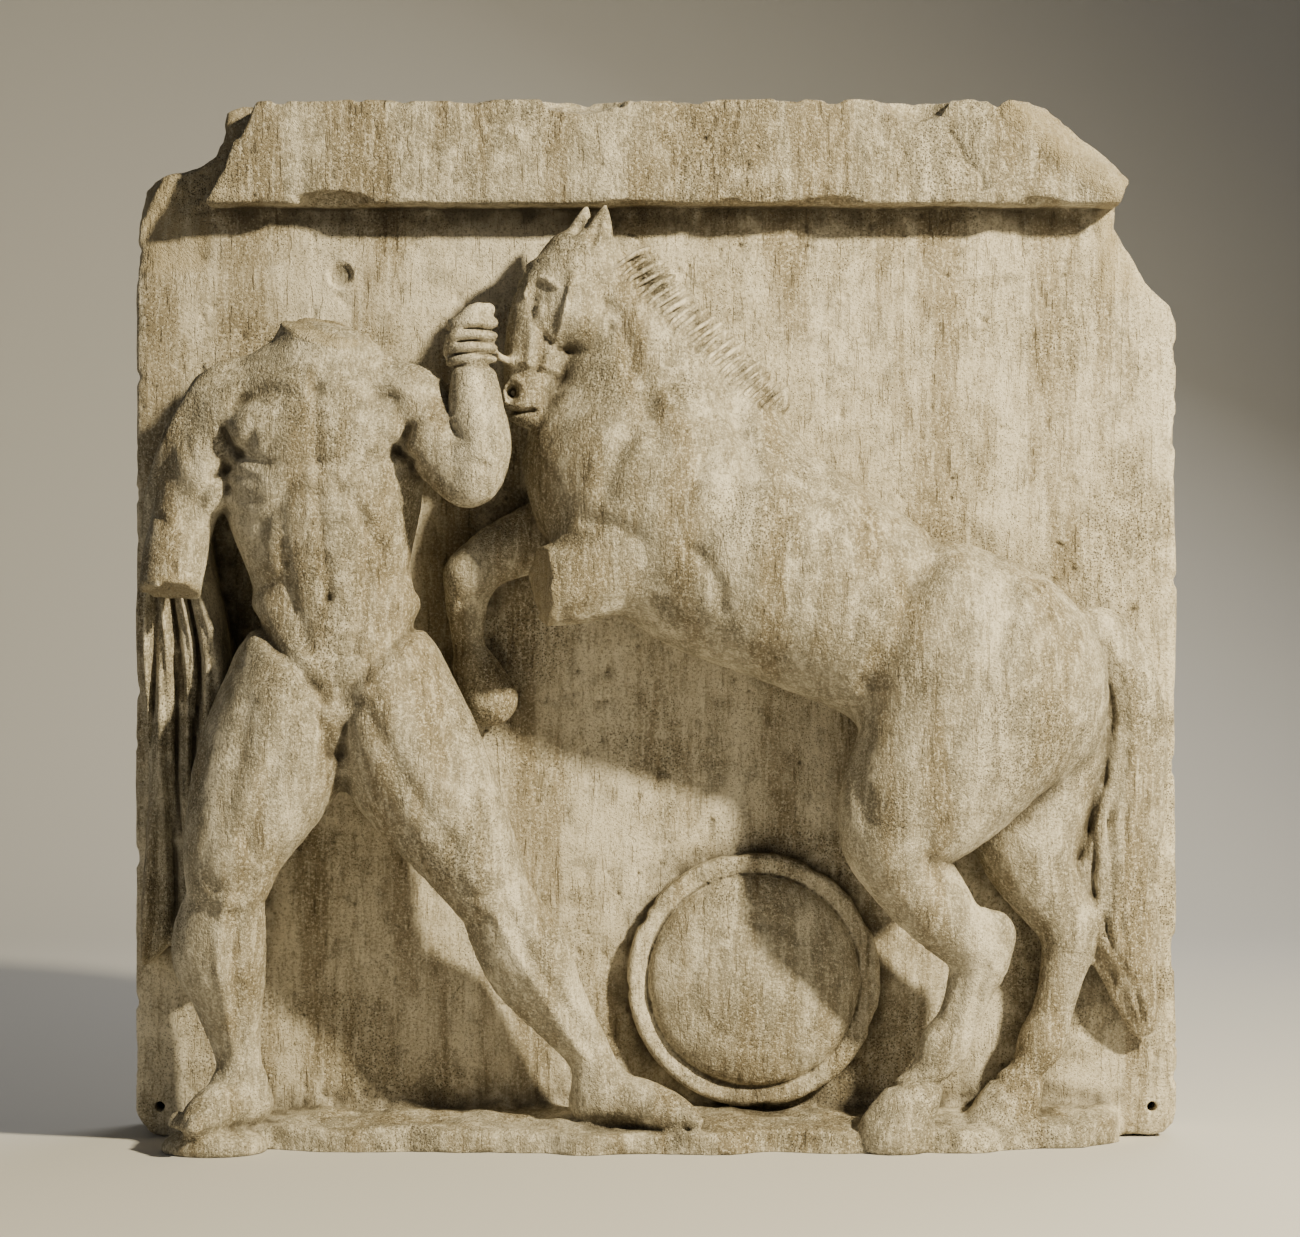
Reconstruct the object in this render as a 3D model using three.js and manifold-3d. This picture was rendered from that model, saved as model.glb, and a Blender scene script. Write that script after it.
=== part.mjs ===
// A marble relief plaque: a square slab under a plain projecting band, carved in one block with a rearing
// horse, a striding youth with a cloak on his arm, and a round shield on a strip of rocky ground.
// Millimetres. +X is the viewer's right, +Z is up, and the carved face looks along -Y.

import * as THREE from "three";
import { mergeVertices } from "three/addons/utils/BufferGeometryUtils.js";
import Module from "manifold-3d";

const wasm = await Module();
wasm.setup();

// Driving sizes of the block.
const WIDTH = 1340;
const HEIGHT = 1325;
const SLAB_THICKNESS = 150; // from the back face to the ground that the figures stand out from
const BAND_HEIGHT = 133; // the plain band along the top
const BAND_PROUD = 62; // how far the band stands out from the ground
const LEFT_BREAK_WIDTH = 104; // the piece lost beside the band's left end
const LEFT_BREAK_DROP = 69;
const LEFT_END_LEAN = 74; // how far the band's broken left end leans in over its height
const RIGHT_BREAK_WIDTH = 181; // the slanting break of the top right corner
const RIGHT_BREAK_DROP = 279;
const CORNER_WEAR = 34; // rounding of the two lower corners
const PEG_HOLE_RADIUS = 6.5; // one drilled fixing hole in each lower corner
const PEG_HOLE_DEPTH = 60;
const PEG_HOLE_INSET = 33; // from the side edge to the hole's centre
const PEG_HOLE_HEIGHT = 39;
const LEDGE_HEIGHT = 34; // the strip of ground along the foot
const LEDGE_PROUD = 165;
const LEDGE_INSET = 78; // bare slab left at each end of the strip
const ROOT = 30; // how deep everything carved is sunk into the slab

// The broken edges of the two top corners, as shares of the lost piece: in from the side, down from the top.
const LEFT_BREAK = [
  [1.33, 0],
  [1.13, 0.12],
  [1, 0.91],
  [0.77, 1.09],
  [0.23, 1.29],
];
const LEFT_SHOULDER = [1.38, 1.9]; // the worn rounding below it: where it starts and ends, down from the top
const RIGHT_BREAK = [
  [0, 1],
  [0.044, 0.921],
  [0.166, 0.839],
  [0.331, 0.649],
  [0.42, 0.556],
  [0.398, 0.477],
  [0.326, 0.362],
  [0.508, 0.244],
  [0.663, 0.168],
  [0.934, 0.022],
  [1.1, 0],
];

// Chips out of the band's front edges: share of the half width, edge, half width and half height of the chip.
const LOWER = 0;
const UPPER = 1;
const BAND_CHIPS = [
  [-0.615, LOWER, 52, 16],
  [-0.06, LOWER, 30, 5],
  [0.32, LOWER, 42, 6],
  [0.49, UPPER, 46, 30],
  [-0.134, UPPER, 60, 18],
];

// The figures' stations were set out on a field of this size, between the side edges and under the band.
// They follow the slab's width across, and the field's height in everything else.
const WIDTH_DRAWN = 1340;
const FIELD_DRAWN = 1192;
const FIELD = HEIGHT - BAND_HEIGHT;
const KX = WIDTH / WIDTH_DRAWN;
const K = FIELD / FIELD_DRAWN;

// A place in the relief: x across, z up, and depth d in front of the ground.
const place = (x, z, d) => new THREE.Vector3(x * KX, -d * K, z * K);

// One closed solid from a geometry, with its shared corners merged.
function solid(geometry) {
  const bare = geometry.clone();
  for (const name of Object.keys(bare.attributes)) {
    if (name !== "position") bare.deleteAttribute(name);
  }
  const merged = mergeVertices(bare, 1e-4);
  const mesh = new wasm.Mesh({
    numProp: 3,
    vertProperties: new Float32Array(merged.attributes.position.array),
    triVerts: new Uint32Array(merged.index.array),
  });
  return new wasm.Manifold(mesh);
}

const join = (solids) => solids.reduce((all, next) => all.add(next));

// A limb: rings round a smooth line through its stations, closed with round ends.
// Each station is [x, z, depth, half width, thickness as a share of the width].
function limb(stations, sides = 10, stepsPerStation = 2) {
  const middles = stations.map(([x, z, d]) => place(x, z, d));
  const line = new THREE.CatmullRomCurve3(middles, false, "centripetal");
  const girth = new THREE.CatmullRomCurve3(
    stations.map(([, , , r, flat = 0.92], i) => new THREE.Vector3(r * K, r * K * flat, i)),
    false,
    "centripetal",
  );
  const steps = (stations.length - 1) * stepsPerStation;
  const rings = [];
  const ring = (centre, along, wide, deep) => {
    const across = new THREE.Vector3().crossVectors(along, new THREE.Vector3(0, 1, 0)).normalize();
    const outward = new THREE.Vector3().crossVectors(across, along).normalize();
    const points = [];
    for (let k = 0; k < sides; k += 1) {
      const turn = (2 * Math.PI * k) / sides;
      const point = centre.clone().addScaledVector(across, wide * Math.cos(turn));
      points.push(point.addScaledVector(outward, deep * Math.sin(turn)));
    }
    rings.push(points);
  };
  const dome = (t, sign) => {
    const centre = line.getPoint(t);
    const along = line.getTangent(t);
    const size = girth.getPoint(t);
    const reach = Math.min(size.x, size.y);
    const angles = sign < 0 ? [70, 38] : [38, 70];
    for (const angle of angles) {
      const rise = THREE.MathUtils.degToRad(angle);
      const shrink = Math.cos(rise);
      const at = centre.clone().addScaledVector(along, sign * reach * Math.sin(rise));
      ring(at, along, size.x * shrink, size.y * shrink);
    }
    return centre.addScaledVector(along, sign * reach);
  };
  const startTip = dome(0, -1);
  for (let i = 0; i <= steps; i += 1) {
    const t = i / steps;
    const size = girth.getPoint(t);
    ring(line.getPoint(t), line.getTangent(t), size.x, size.y);
  }
  const endTip = dome(1, 1);
  const corners = rings.flat().concat([startTip, endTip]);
  const start = corners.length - 2;
  const end = corners.length - 1;
  const faces = [];
  for (let i = 0; i + 1 < rings.length; i += 1) {
    for (let k = 0; k < sides; k += 1) {
      const next = (k + 1) % sides;
      const a = i * sides + k;
      const b = i * sides + next;
      faces.push(a, a + sides, b, b, a + sides, b + sides);
    }
  }
  const last = (rings.length - 1) * sides;
  for (let k = 0; k < sides; k += 1) {
    const next = (k + 1) % sides;
    faces.push(start, k, next, end, last + next, last + k);
  }
  const geometry = new THREE.BufferGeometry();
  geometry.setAttribute("position", new THREE.Float32BufferAttribute(corners.flatMap((p) => p.toArray()), 3));
  geometry.setIndex(faces);
  return solid(geometry);
}

// A rounded mass such as a muscle: half sizes across, up and out, turned in the plane of the slab.
function mass([x, z, d], [wide, tall, deep], tilt = 0, detail = 10) {
  const geometry = new THREE.SphereGeometry(1, detail, Math.round(detail * 0.6));
  geometry.scale(wide * K, deep * K, tall * K);
  geometry.rotateY(THREE.MathUtils.degToRad(tilt));
  geometry.translate(...place(x, z, d).toArray());
  return solid(geometry);
}

// A limb broken off square at a place, looking along the way that the lost part went.
function broken(body, [x, z, d], [dx, dz, dd]) {
  const LOST = 400;
  const along = new THREE.Vector3(dx, -dd, dz).normalize();
  const tool = new THREE.BoxGeometry(LOST, LOST, LOST);
  tool.translate(0, 0, LOST / 2);
  tool.applyQuaternion(new THREE.Quaternion().setFromUnitVectors(new THREE.Vector3(0, 0, 1), along));
  tool.translate(...place(x, z, d).toArray());
  return body.subtract(solid(tool));
}

// An upright sheet from its outline, from a front depth y back through its thickness.
function upright(shape, thickness, front) {
  const options = { depth: thickness, bevelEnabled: false, curveSegments: 5 };
  const geometry = new THREE.ExtrudeGeometry(shape, options);
  geometry.rotateX(Math.PI / 2);
  geometry.translate(0, front + thickness, 0);
  return solid(geometry);
}

// The outline of the whole slab, with its two broken top corners and its worn lower ones.
function slabOutline() {
  const half = WIDTH / 2;
  const outline = new THREE.Shape();
  outline.moveTo(-half + CORNER_WEAR, 0);
  outline.lineTo(half - CORNER_WEAR, 0);
  outline.quadraticCurveTo(half, 0, half, CORNER_WEAR);
  for (const [across, down] of RIGHT_BREAK) {
    outline.lineTo(half - across * RIGHT_BREAK_WIDTH, HEIGHT - down * RIGHT_BREAK_DROP);
  }
  for (const [across, down] of LEFT_BREAK) {
    outline.lineTo(-half + across * LEFT_BREAK_WIDTH, HEIGHT - down * LEFT_BREAK_DROP);
  }
  const [shoulderTop, shoulderFoot] = LEFT_SHOULDER.map((down) => HEIGHT - down * LEFT_BREAK_DROP);
  outline.quadraticCurveTo(-half, shoulderTop, -half, shoulderFoot);
  outline.lineTo(-half, CORNER_WEAR);
  outline.quadraticCurveTo(-half, 0, -half + CORNER_WEAR, 0);
  return outline;
}

// The band along the top. Its right end follows the slab's break, and its left end leans in.
function band() {
  const half = WIDTH / 2;
  const foot = HEIGHT - BAND_HEIGHT;
  const leftEnd = -half + LEFT_BREAK_WIDTH - 0.19 * LEFT_END_LEAN;
  const face = new THREE.Shape();
  face.moveTo(leftEnd, foot);
  face.lineTo(half, foot);
  face.lineTo(half, HEIGHT);
  face.lineTo(leftEnd + LEFT_END_LEAN, HEIGHT);
  face.lineTo(leftEnd + 0.73 * LEFT_END_LEAN, HEIGHT - 0.38 * BAND_HEIGHT);
  const depth = BAND_PROUD + ROOT;
  return upright(face, depth, -BAND_PROUD).intersect(upright(slabOutline(), depth, -BAND_PROUD));
}

// The block: the slab, the band, the strip of ground, the chips and the drilled fixing holes.
function slab() {
  const half = WIDTH / 2;
  const bandFoot = HEIGHT - BAND_HEIGHT;
  let block = join([upright(slabOutline(), SLAB_THICKNESS, 0), band(), ledge()]);
  for (const [share, edge, wide, tall] of BAND_CHIPS) {
    const chip = new THREE.SphereGeometry(1, 10, 6);
    chip.scale(wide, 0.6 * BAND_PROUD, tall);
    chip.translate(share * half, -BAND_PROUD, edge === UPPER ? HEIGHT : bandFoot);
    block = block.subtract(solid(chip));
  }
  for (const side of [-1, 1]) {
    const drill = new THREE.CylinderGeometry(PEG_HOLE_RADIUS, PEG_HOLE_RADIUS, PEG_HOLE_DEPTH * 2, 12);
    drill.translate(side * (half - PEG_HOLE_INSET), 0, PEG_HOLE_HEIGHT);
    block = block.subtract(solid(drill));
  }
  return block;
}

// The strip of rocky ground: its front edge wanders in and out, and its top slopes up to the slab.
function ledge() {
  const BAYS = 14;
  const half = WIDTH / 2 - LEDGE_INSET;
  const plan = new THREE.Shape();
  plan.moveTo(-half, -ROOT);
  for (let i = 0; i <= BAYS; i += 1) {
    const across = -half + (2 * half * i) / BAYS;
    const ends = Math.sin((Math.PI * i) / BAYS) ** 0.35;
    const wander = 0.9 + 0.1 * Math.sin(2.3 * i) * Math.cos(1.1 * i);
    plan.lineTo(across, Math.max(LEDGE_PROUD * ends * wander, ROOT));
  }
  plan.lineTo(half, -ROOT);
  const geometry = new THREE.ExtrudeGeometry(plan, {
    depth: LEDGE_HEIGHT,
    bevelEnabled: false,
    curveSegments: 2,
  });
  const corners = geometry.attributes.position;
  for (let i = 0; i < corners.count; i += 1) {
    const out = corners.getY(i);
    const up = corners.getZ(i);
    const slope = up > 0 ? up * (1.2 - (0.45 * Math.max(out, 0)) / LEDGE_PROUD) : 0;
    corners.setXYZ(i, corners.getX(i), -out, slope);
  }
  // Swapping out for -Y mirrors the solid, so its faces are turned round.
  for (let i = 0; i < corners.count; i += 3) {
    const kept = new THREE.Vector3().fromBufferAttribute(corners, i);
    const other = new THREE.Vector3().fromBufferAttribute(corners, i + 1);
    corners.setXYZ(i, ...other.toArray());
    corners.setXYZ(i + 1, ...kept.toArray());
  }
  return solid(geometry);
}

// The horse rears to the left. Its near foreleg is broken off above the knee.
function horse() {
  const body = limb(
    [
      [464, 548, 76, 104, 0.9],
      [412, 592, 92, 146, 0.85],
      [300, 656, 92, 128, 0.88],
      [182, 716, 95, 138, 0.86],
      [72, 772, 98, 150, 0.84],
      [-14, 826, 98, 138, 0.85],
      [-68, 864, 92, 100, 0.85],
    ],
    14,
  );
  const neck = limb(
    [
      [48, 848, 86, 132, 0.6],
      [-5, 935, 88, 112, 0.6],
      [-48, 1020, 88, 79, 0.66],
      [-82, 1086, 88, 58, 0.75],
      [-98, 1106, 88, 50, 0.85],
    ],
    12,
  );
  const head = limb([
    [-94, 1104, 92, 52, 0.85],
    [-122, 1066, 98, 56, 0.75],
    [-146, 1012, 102, 44, 0.8],
    [-158, 962, 104, 33, 0.9],
    [-161, 936, 102, 31, 0.95],
  ]);
  const cheek = mass([-102, 1052, 104], [50, 52, 40], 24);
  const ear = (x, d) =>
    limb(
      [
        [x, 1128, d, 18],
        [x + 6, 1152, d + 2, 13],
        [x + 10, 1176, d, 4],
      ],
      6,
      1,
    );
  const nearHind = limb(
    [
      [446, 612, 96, 96, 0.85],
      [400, 548, 118, 124, 0.8],
      [352, 480, 134, 110, 0.78],
      [304, 412, 140, 78, 0.85],
      [308, 362, 136, 58],
      [352, 302, 126, 48],
      [402, 252, 116, 41],
      [394, 205, 110, 30],
      [374, 152, 108, 27],
      [354, 112, 106, 32],
      [336, 84, 106, 26],
      [322, 56, 106, 36],
      [314, 24, 106, 44],
    ],
    10,
    1,
  );
  const hock = mass([420, 264, 116], [32, 36, 27], 20, 8);
  const farHind = limb(
    [
      [490, 510, 48, 86, 0.8],
      [470, 410, 50, 74, 0.85],
      [482, 345, 50, 53],
      [524, 274, 46, 39],
      [516, 212, 44, 28],
      [500, 150, 42, 26],
      [486, 112, 42, 31],
      [470, 84, 42, 25],
      [458, 54, 44, 35],
      [450, 26, 46, 42],
    ],
    8,
    1,
  );
  const nearFore = broken(
    limb([
      [-6, 806, 130, 88, 0.6],
      [-48, 748, 148, 70, 0.8],
      [-104, 712, 158, 54],
      [-190, 700, 160, 45],
    ]),
    [-142, 704, 160],
    [-1, -0.1, 0.35],
  );
  const farFore = limb(
    [
      [-60, 800, 60, 62],
      [-140, 772, 48, 46],
      [-212, 742, 42, 36],
      [-238, 706, 40, 31],
      [-240, 646, 38, 22],
      [-233, 606, 38, 26],
      [-222, 580, 38, 31],
    ],
    8,
    1,
  );
  const front = [neck, head, cheek, ear(-72, 96), ear(-96, 72), nearFore, farFore];
  const rear = [nearHind, hock, farHind];
  return [body, ...front, ...rear, ...mane(), ...tail()];
}

// The mane stands along the crest of the neck as one comb, with a row of lock tips along its edge.
function mane() {
  const LOCKS = 9;
  const RISE = 17;
  const crest = new THREE.CatmullRomCurve3(
    [
      [142, 938],
      [88, 989],
      [22, 1055],
      [-34, 1122],
    ].map(([x, z]) => new THREE.Vector3(x, 0, z)),
  );
  const comb = [];
  const locks = [];
  for (let i = 0; i < LOCKS; i += 1) {
    const at = crest.getPoint(i / (LOCKS - 1));
    const way = crest.getTangent(i / (LOCKS - 1));
    const [upX, upZ] = [way.z * RISE, -way.x * RISE];
    if (i % 2 === 0) comb.push([at.x - upX, at.z - upZ, 86, 29, 0.8]);
    locks.push(
      limb(
        [
          [at.x - 0.5 * upX, at.z - 0.5 * upZ, 88, 23, 0.8],
          [at.x + 0.6 * upX, at.z + 0.6 * upZ, 82, 19, 0.8],
          [at.x + 1.4 * upX, at.z + 1.4 * upZ + 4, 76, 10, 0.9],
        ],
        5,
        1,
      ),
    );
  }
  return [limb(comb, 8, 1), ...locks];
}

// The tail rises from the croup and falls in waving strands over a flat core.
function tail() {
  const STRANDS = 5;
  const strands = [];
  for (let i = 0; i < STRANDS; i += 1) {
    const share = i / (STRANDS - 1) - 0.5;
    const wave = 8 * Math.sin(1.7 * i);
    const hang = 12 * Math.cos(2.2 * i);
    const lift = 14 * (1 - 4 * share * share);
    strands.push(
      limb(
        [
          [506, 632 + 24 * share, 74, 17],
          [562, 648 + 46 * share, 60 + lift, 17],
          [596 + 44 * share, 592 + 44 * share, 54 + lift, 17],
          [600 + 76 * share, 490, 48 + lift, 18],
          [584 + 82 * share + wave, 386, 42 + lift, 18],
          [586 + 74 * share - wave, 284, 36 + lift, 16],
          [606 + 46 * share, 196 + hang, 30 + lift, 12],
          [628 + 22 * share, 142 + 16 * share + hang, 30, 6],
        ],
        6,
        1,
      ),
    );
  }
  const core = limb(
    [
      [500, 626, 50, 36, 0.8],
      [568, 626, 40, 44, 0.8],
      [602, 520, 34, 48, 0.7],
      [586, 380, 26, 46, 0.7],
      [604, 210, 16, 28, 0.7],
    ],
    8,
    1,
  );
  return [...strands, core];
}

// The youth lunges to the left. His head and one forearm are lost, and his other fist holds the bridle.
function youth() {
  const torso = limb(
    [
      [-394, 570, 104, 110, 0.85],
      [-398, 632, 108, 102, 0.8],
      [-404, 698, 110, 94, 0.84],
      [-412, 768, 114, 108, 0.8],
      [-418, 840, 116, 127, 0.74],
      [-420, 905, 116, 118, 0.7],
      [-419, 945, 112, 86, 0.7],
    ],
    14,
    1,
  );
  const shoulders = limb(
    [
      [-534, 925, 116, 52],
      [-478, 946, 116, 47],
      [-419, 958, 114, 50],
      [-360, 948, 118, 47],
      [-308, 925, 128, 52],
    ],
    10,
    1,
  );
  const neck = broken(
    limb(
      [
        [-419, 950, 112, 62],
        [-418, 990, 118, 52],
        [-416, 1060, 122, 52],
      ],
      12,
    ),
    [-418, 1030, 120],
    [0.25, 1, 0.3],
  );
  const brokenArm = broken(
    limb(
      [
        [-532, 927, 116, 56],
        [-568, 862, 118, 49],
        [-590, 792, 124, 41],
        [-600, 735, 146, 40],
        [-606, 650, 172, 34],
      ],
      10,
      1,
    ),
    [-603, 700, 158],
    [-0.1, -1, 0.3],
  );
  const bridleArm = limb(
    [
      [-310, 925, 128, 56],
      [-264, 882, 158, 50],
      [-232, 838, 182, 38],
      [-220, 872, 182, 43],
      [-224, 938, 168, 34],
      [-227, 984, 156, 27],
    ],
    10,
    1,
  );
  const bentLeg = limb(
    [
      [-444, 580, 114, 92, 0.92],
      [-480, 488, 140, 94, 0.92],
      [-518, 396, 160, 68],
      [-530, 345, 160, 54],
      [-534, 322, 152, 50],
      [-544, 256, 134, 61],
      [-536, 196, 116, 46],
      [-526, 125, 100, 30],
      [-522, 84, 98, 34],
    ],
    10,
    1,
  );
  const straightLeg = limb(
    [
      [-350, 580, 114, 92, 0.92],
      [-298, 480, 132, 90, 0.92],
      [-236, 378, 138, 64],
      [-212, 334, 136, 52],
      [-198, 310, 130, 49],
      [-166, 246, 114, 58],
      [-134, 190, 100, 45],
      [-88, 124, 88, 30],
      [-70, 82, 84, 34],
    ],
    10,
    1,
  );
  // A foot from its heel, with the way that its toes point: across, and out of the slab.
  const foot = (heelX, heelD, across, out) =>
    limb(
      [
        [heelX - 0.12 * across, 56, heelD - 0.12 * out, 30, 1],
        [heelX + 0.3 * across, 56, heelD + 0.3 * out, 31, 1],
        [heelX + 0.75 * across, 42, heelD + 0.75 * out, 25, 1.3],
        [heelX + across, 36, heelD + out, 17, 1.6],
      ],
      10,
      1,
    );
  return [
    torso,
    shoulders,
    neck,
    mass([-480, 897, 156], [62, 38, 42], 8),
    mass([-360, 897, 156], [62, 38, 42], -8),
    brokenArm,
    bridleArm,
    bentLeg,
    straightLeg,
    foot(-520, 96, -62, 80),
    foot(-66, 82, 122, 40),
    mass([-532, 924, 122], [55, 58, 48], 0, 9),
    mass([-310, 924, 134], [55, 58, 48], 0, 9),
    mass([-460, 640, 124], [38, 54, 44], -14),
    mass([-338, 640, 124], [38, 54, 44], 14),
    mass([-522, 366, 200], [29, 38, 20], 0, 8),
    mass([-220, 356, 172], [29, 38, 20], 0, 8),
    mass([-228, 1010, 152], [36, 36, 31]),
    mass([-395, 520, 180], [24, 28, 20], 0, 8),
  ];
}

// The cloak hangs from the youth's broken arm in upright folds down the edge of the slab.
function cloak() {
  const FOLDS = 6;
  const folds = [];
  for (let i = 0; i < FOLDS; i += 1) {
    const share = i / (FOLDS - 1) - 0.5;
    const sway = 6 * Math.sin(2.1 * i);
    const hem = 236 + 30 * Math.cos(1.9 * i);
    const front = 14 * (i % 2);
    folds.push(
      limb(
        [
          [-606 + 44 * share, 800, 96, 14],
          [-606 + 74 * share, 680, 92 + front, 15],
          [-594 + 98 * share + sway, 520, 86 + front, 17],
          [-588 + 108 * share - sway, 370, 80 + front, 19],
          [-586 + 112 * share, hem, 74 + front, 21],
        ],
        6,
        1,
      ),
    );
  }
  const over = limb(
    [
      [-498, 968, 96, 22],
      [-560, 946, 128, 24],
      [-604, 866, 122, 30],
      [-612, 780, 96, 30],
    ],
    8,
    1,
  );
  const backing = limb(
    [
      [-596, 830, 40, 50, 0.7],
      [-602, 690, 40, 54, 0.9],
      [-588, 480, 36, 66, 0.8],
      [-586, 256, 30, 64, 0.8],
    ],
    8,
    1,
  );
  return [...folds, over, backing];
}

// A round shield leans against the slab behind the legs: a shallow bowl inside a flat rim.
function shield() {
  const RADIUS = 162;
  const RIM = 26;
  const profile = [
    [0, -ROOT],
    [RADIUS, -ROOT],
    [RADIUS, 20],
    [RADIUS - 6, 26],
    [RADIUS - RIM, 24],
    [RADIUS - RIM - 6, 30],
    [RADIUS * 0.58, 48],
    [RADIUS * 0.3, 58],
    [0, 62],
  ].map(([r, d]) => new THREE.Vector2(r * K, d * K));
  const geometry = new THREE.LatheGeometry(profile, 22);
  geometry.rotateX(Math.PI);
  geometry.translate(...place(125, 204, 0).toArray());
  return [solid(geometry)];
}

function meshOf(name, body, material) {
  const made = body.getMesh();
  const geometry = new THREE.BufferGeometry();
  const corners = new Float32Array((made.vertProperties.length / made.numProp) * 3);
  for (let i = 0; i < corners.length / 3; i += 1) {
    for (let k = 0; k < 3; k += 1) corners[3 * i + k] = made.vertProperties[made.numProp * i + k];
  }
  geometry.setAttribute("position", new THREE.BufferAttribute(corners, 3));
  geometry.setIndex(new THREE.BufferAttribute(new Uint32Array(made.triVerts), 1));
  const mesh = new THREE.Mesh(geometry, material);
  mesh.name = name;
  return mesh;
}

const weatheredMarble = new THREE.MeshStandardMaterial({ color: 0xb9ae98, roughness: 0.62, metalness: 0 });

// Everything that the carving would leave below the underside is cut off level.
const underside = new THREE.BoxGeometry(2 * WIDTH, 2 * WIDTH, 200);
underside.translate(0, 0, -100);
const block = join([slab(), ...horse(), ...youth(), ...cloak(), ...shield()]).subtract(solid(underside));
const plaque = meshOf("relief_plaque", block, weatheredMarble);

// The origin is at the middle of the underside, so the block is moved back by half of its depth.
plaque.geometry.computeBoundingBox();
const bounds = plaque.geometry.boundingBox;
plaque.position.set(-(bounds.min.x + bounds.max.x) / 2, -(bounds.min.y + bounds.max.y) / 2, -bounds.min.z);

const group = new THREE.Group();
group.name = "marble_relief";
group.add(plaque);

export default group;
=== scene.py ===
"""Looks of a weathered marble relief plaque, carved from one block.

The block is cut out of a volume of signed distances: slab, band, ledge and figures are built in
millimetres from stations, joined softly as a carver's forms meet, and turned into one closed mesh.
Across is x, up is z, and depths d run out from the relief's ground towards the viewer, who looks
along +Y.
"""

import logging
import math
from dataclasses import dataclass, field
from enum import Enum

import bmesh
import bpy
import numpy as np
import openvdb
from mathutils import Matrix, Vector

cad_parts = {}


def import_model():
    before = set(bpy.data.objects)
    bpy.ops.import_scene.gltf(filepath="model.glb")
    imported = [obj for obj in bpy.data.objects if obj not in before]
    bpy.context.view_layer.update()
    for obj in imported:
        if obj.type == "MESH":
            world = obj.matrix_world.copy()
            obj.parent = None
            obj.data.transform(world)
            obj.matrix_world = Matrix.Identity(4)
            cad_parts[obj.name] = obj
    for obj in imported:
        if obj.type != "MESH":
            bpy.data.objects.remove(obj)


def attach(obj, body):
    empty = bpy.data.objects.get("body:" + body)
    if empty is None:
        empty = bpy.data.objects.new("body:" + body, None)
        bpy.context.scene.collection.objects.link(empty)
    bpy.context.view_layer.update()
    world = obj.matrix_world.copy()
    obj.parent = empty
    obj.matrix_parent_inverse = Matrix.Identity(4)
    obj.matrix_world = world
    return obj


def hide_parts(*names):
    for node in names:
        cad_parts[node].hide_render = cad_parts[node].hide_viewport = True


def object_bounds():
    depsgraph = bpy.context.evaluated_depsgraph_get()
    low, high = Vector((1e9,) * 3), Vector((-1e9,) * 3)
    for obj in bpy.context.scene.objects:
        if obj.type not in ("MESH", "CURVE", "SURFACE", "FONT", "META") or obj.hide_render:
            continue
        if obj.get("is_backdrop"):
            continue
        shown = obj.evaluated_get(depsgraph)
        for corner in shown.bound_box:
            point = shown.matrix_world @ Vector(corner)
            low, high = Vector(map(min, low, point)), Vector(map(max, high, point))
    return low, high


log = logging.getLogger("relief")

Array = np.ndarray
Station = tuple[float, ...]

MILLIMETRE = 0.001
# Distance given to every place before a form is carved, and squared distance before a line is drawn.
FAR = 60.0
FARTHEST_SQUARED = 1e9
# How far a form is worked out past its own surface, so that soft joins have room.
MARGIN = 24
# Thickness over width of a limb whose station gives none.
PLAIN_FLATNESS = 0.92
# Finer rows made between two stations of a limb, and between two points of a stroke.
LIMB_STEPS = 4
STROKE_STEPS = 5
# Noise layers are scaled by this, so that their sum reaches about 1.
LIVELINESS = 1.5


class Side(Enum):
    """The two sides of the figure, as signs along x."""

    LEFT = -1
    RIGHT = 1


class Edge(Enum):
    """The two front edges of the band."""

    LOWER = 0
    UPPER = 1


def linear(code: str) -> tuple[float, float, float, float]:
    """Turn an sRGB colour into the linear one that shaders take.

    Args:
        code: Six hex digits after a hash sign.

    Returns:
        Red, green, blue and alpha.
    """
    parts = [int(code[i : i + 2], 16) / 255 for i in (1, 3, 5)]
    red, green, blue = (c / 12.92 if c <= 0.04045 else ((c + 0.055) / 1.055) ** 2.4 for c in parts)
    return red, green, blue, 1.0


def spline(rows: Array, steps: int) -> Array:
    """Resample rows of numbers on a smooth line through all of them.

    Args:
        rows: One row for each station.
        steps: Rows made for each stretch between two stations.

    Returns:
        The finer rows, with the last station at the end.
    """
    ends = np.vstack([2 * rows[0] - rows[1], rows, 2 * rows[-1] - rows[-2]])
    made = []
    for i in range(len(rows) - 1):
        p0, p1, p2, p3 = ends[i : i + 4]
        for t in np.arange(steps) / steps:
            bend = (2 * p0 - 5 * p1 + 4 * p2 - p3) * t * t + (3 * p1 - p0 - 3 * p2 + p3) * t**3
            made.append(0.5 * (2 * p1 + (p2 - p0) * t + bend))
    made.append(rows[-1])
    return np.array(made)


def soft_min(a: Array, b: Array, k: float) -> Array:
    """Join two distances with a hollow fillet of about k between them."""
    h = np.maximum(k - np.abs(a - b), 0) / k
    return np.minimum(a, b) - h * h * k / 4


def soft_max(a: Array, b: Array, k: float) -> Array:
    """Cut one distance by another with an edge rounded over about k."""
    return -soft_min(-a, -b, k)


def ease(values: Array, start: float, end: float) -> Array:
    """Rise smoothly from 0 at start to 1 at end."""
    t = np.clip((values - start) / (end - start), 0, 1)
    return t * t * (3 - 2 * t)


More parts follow.
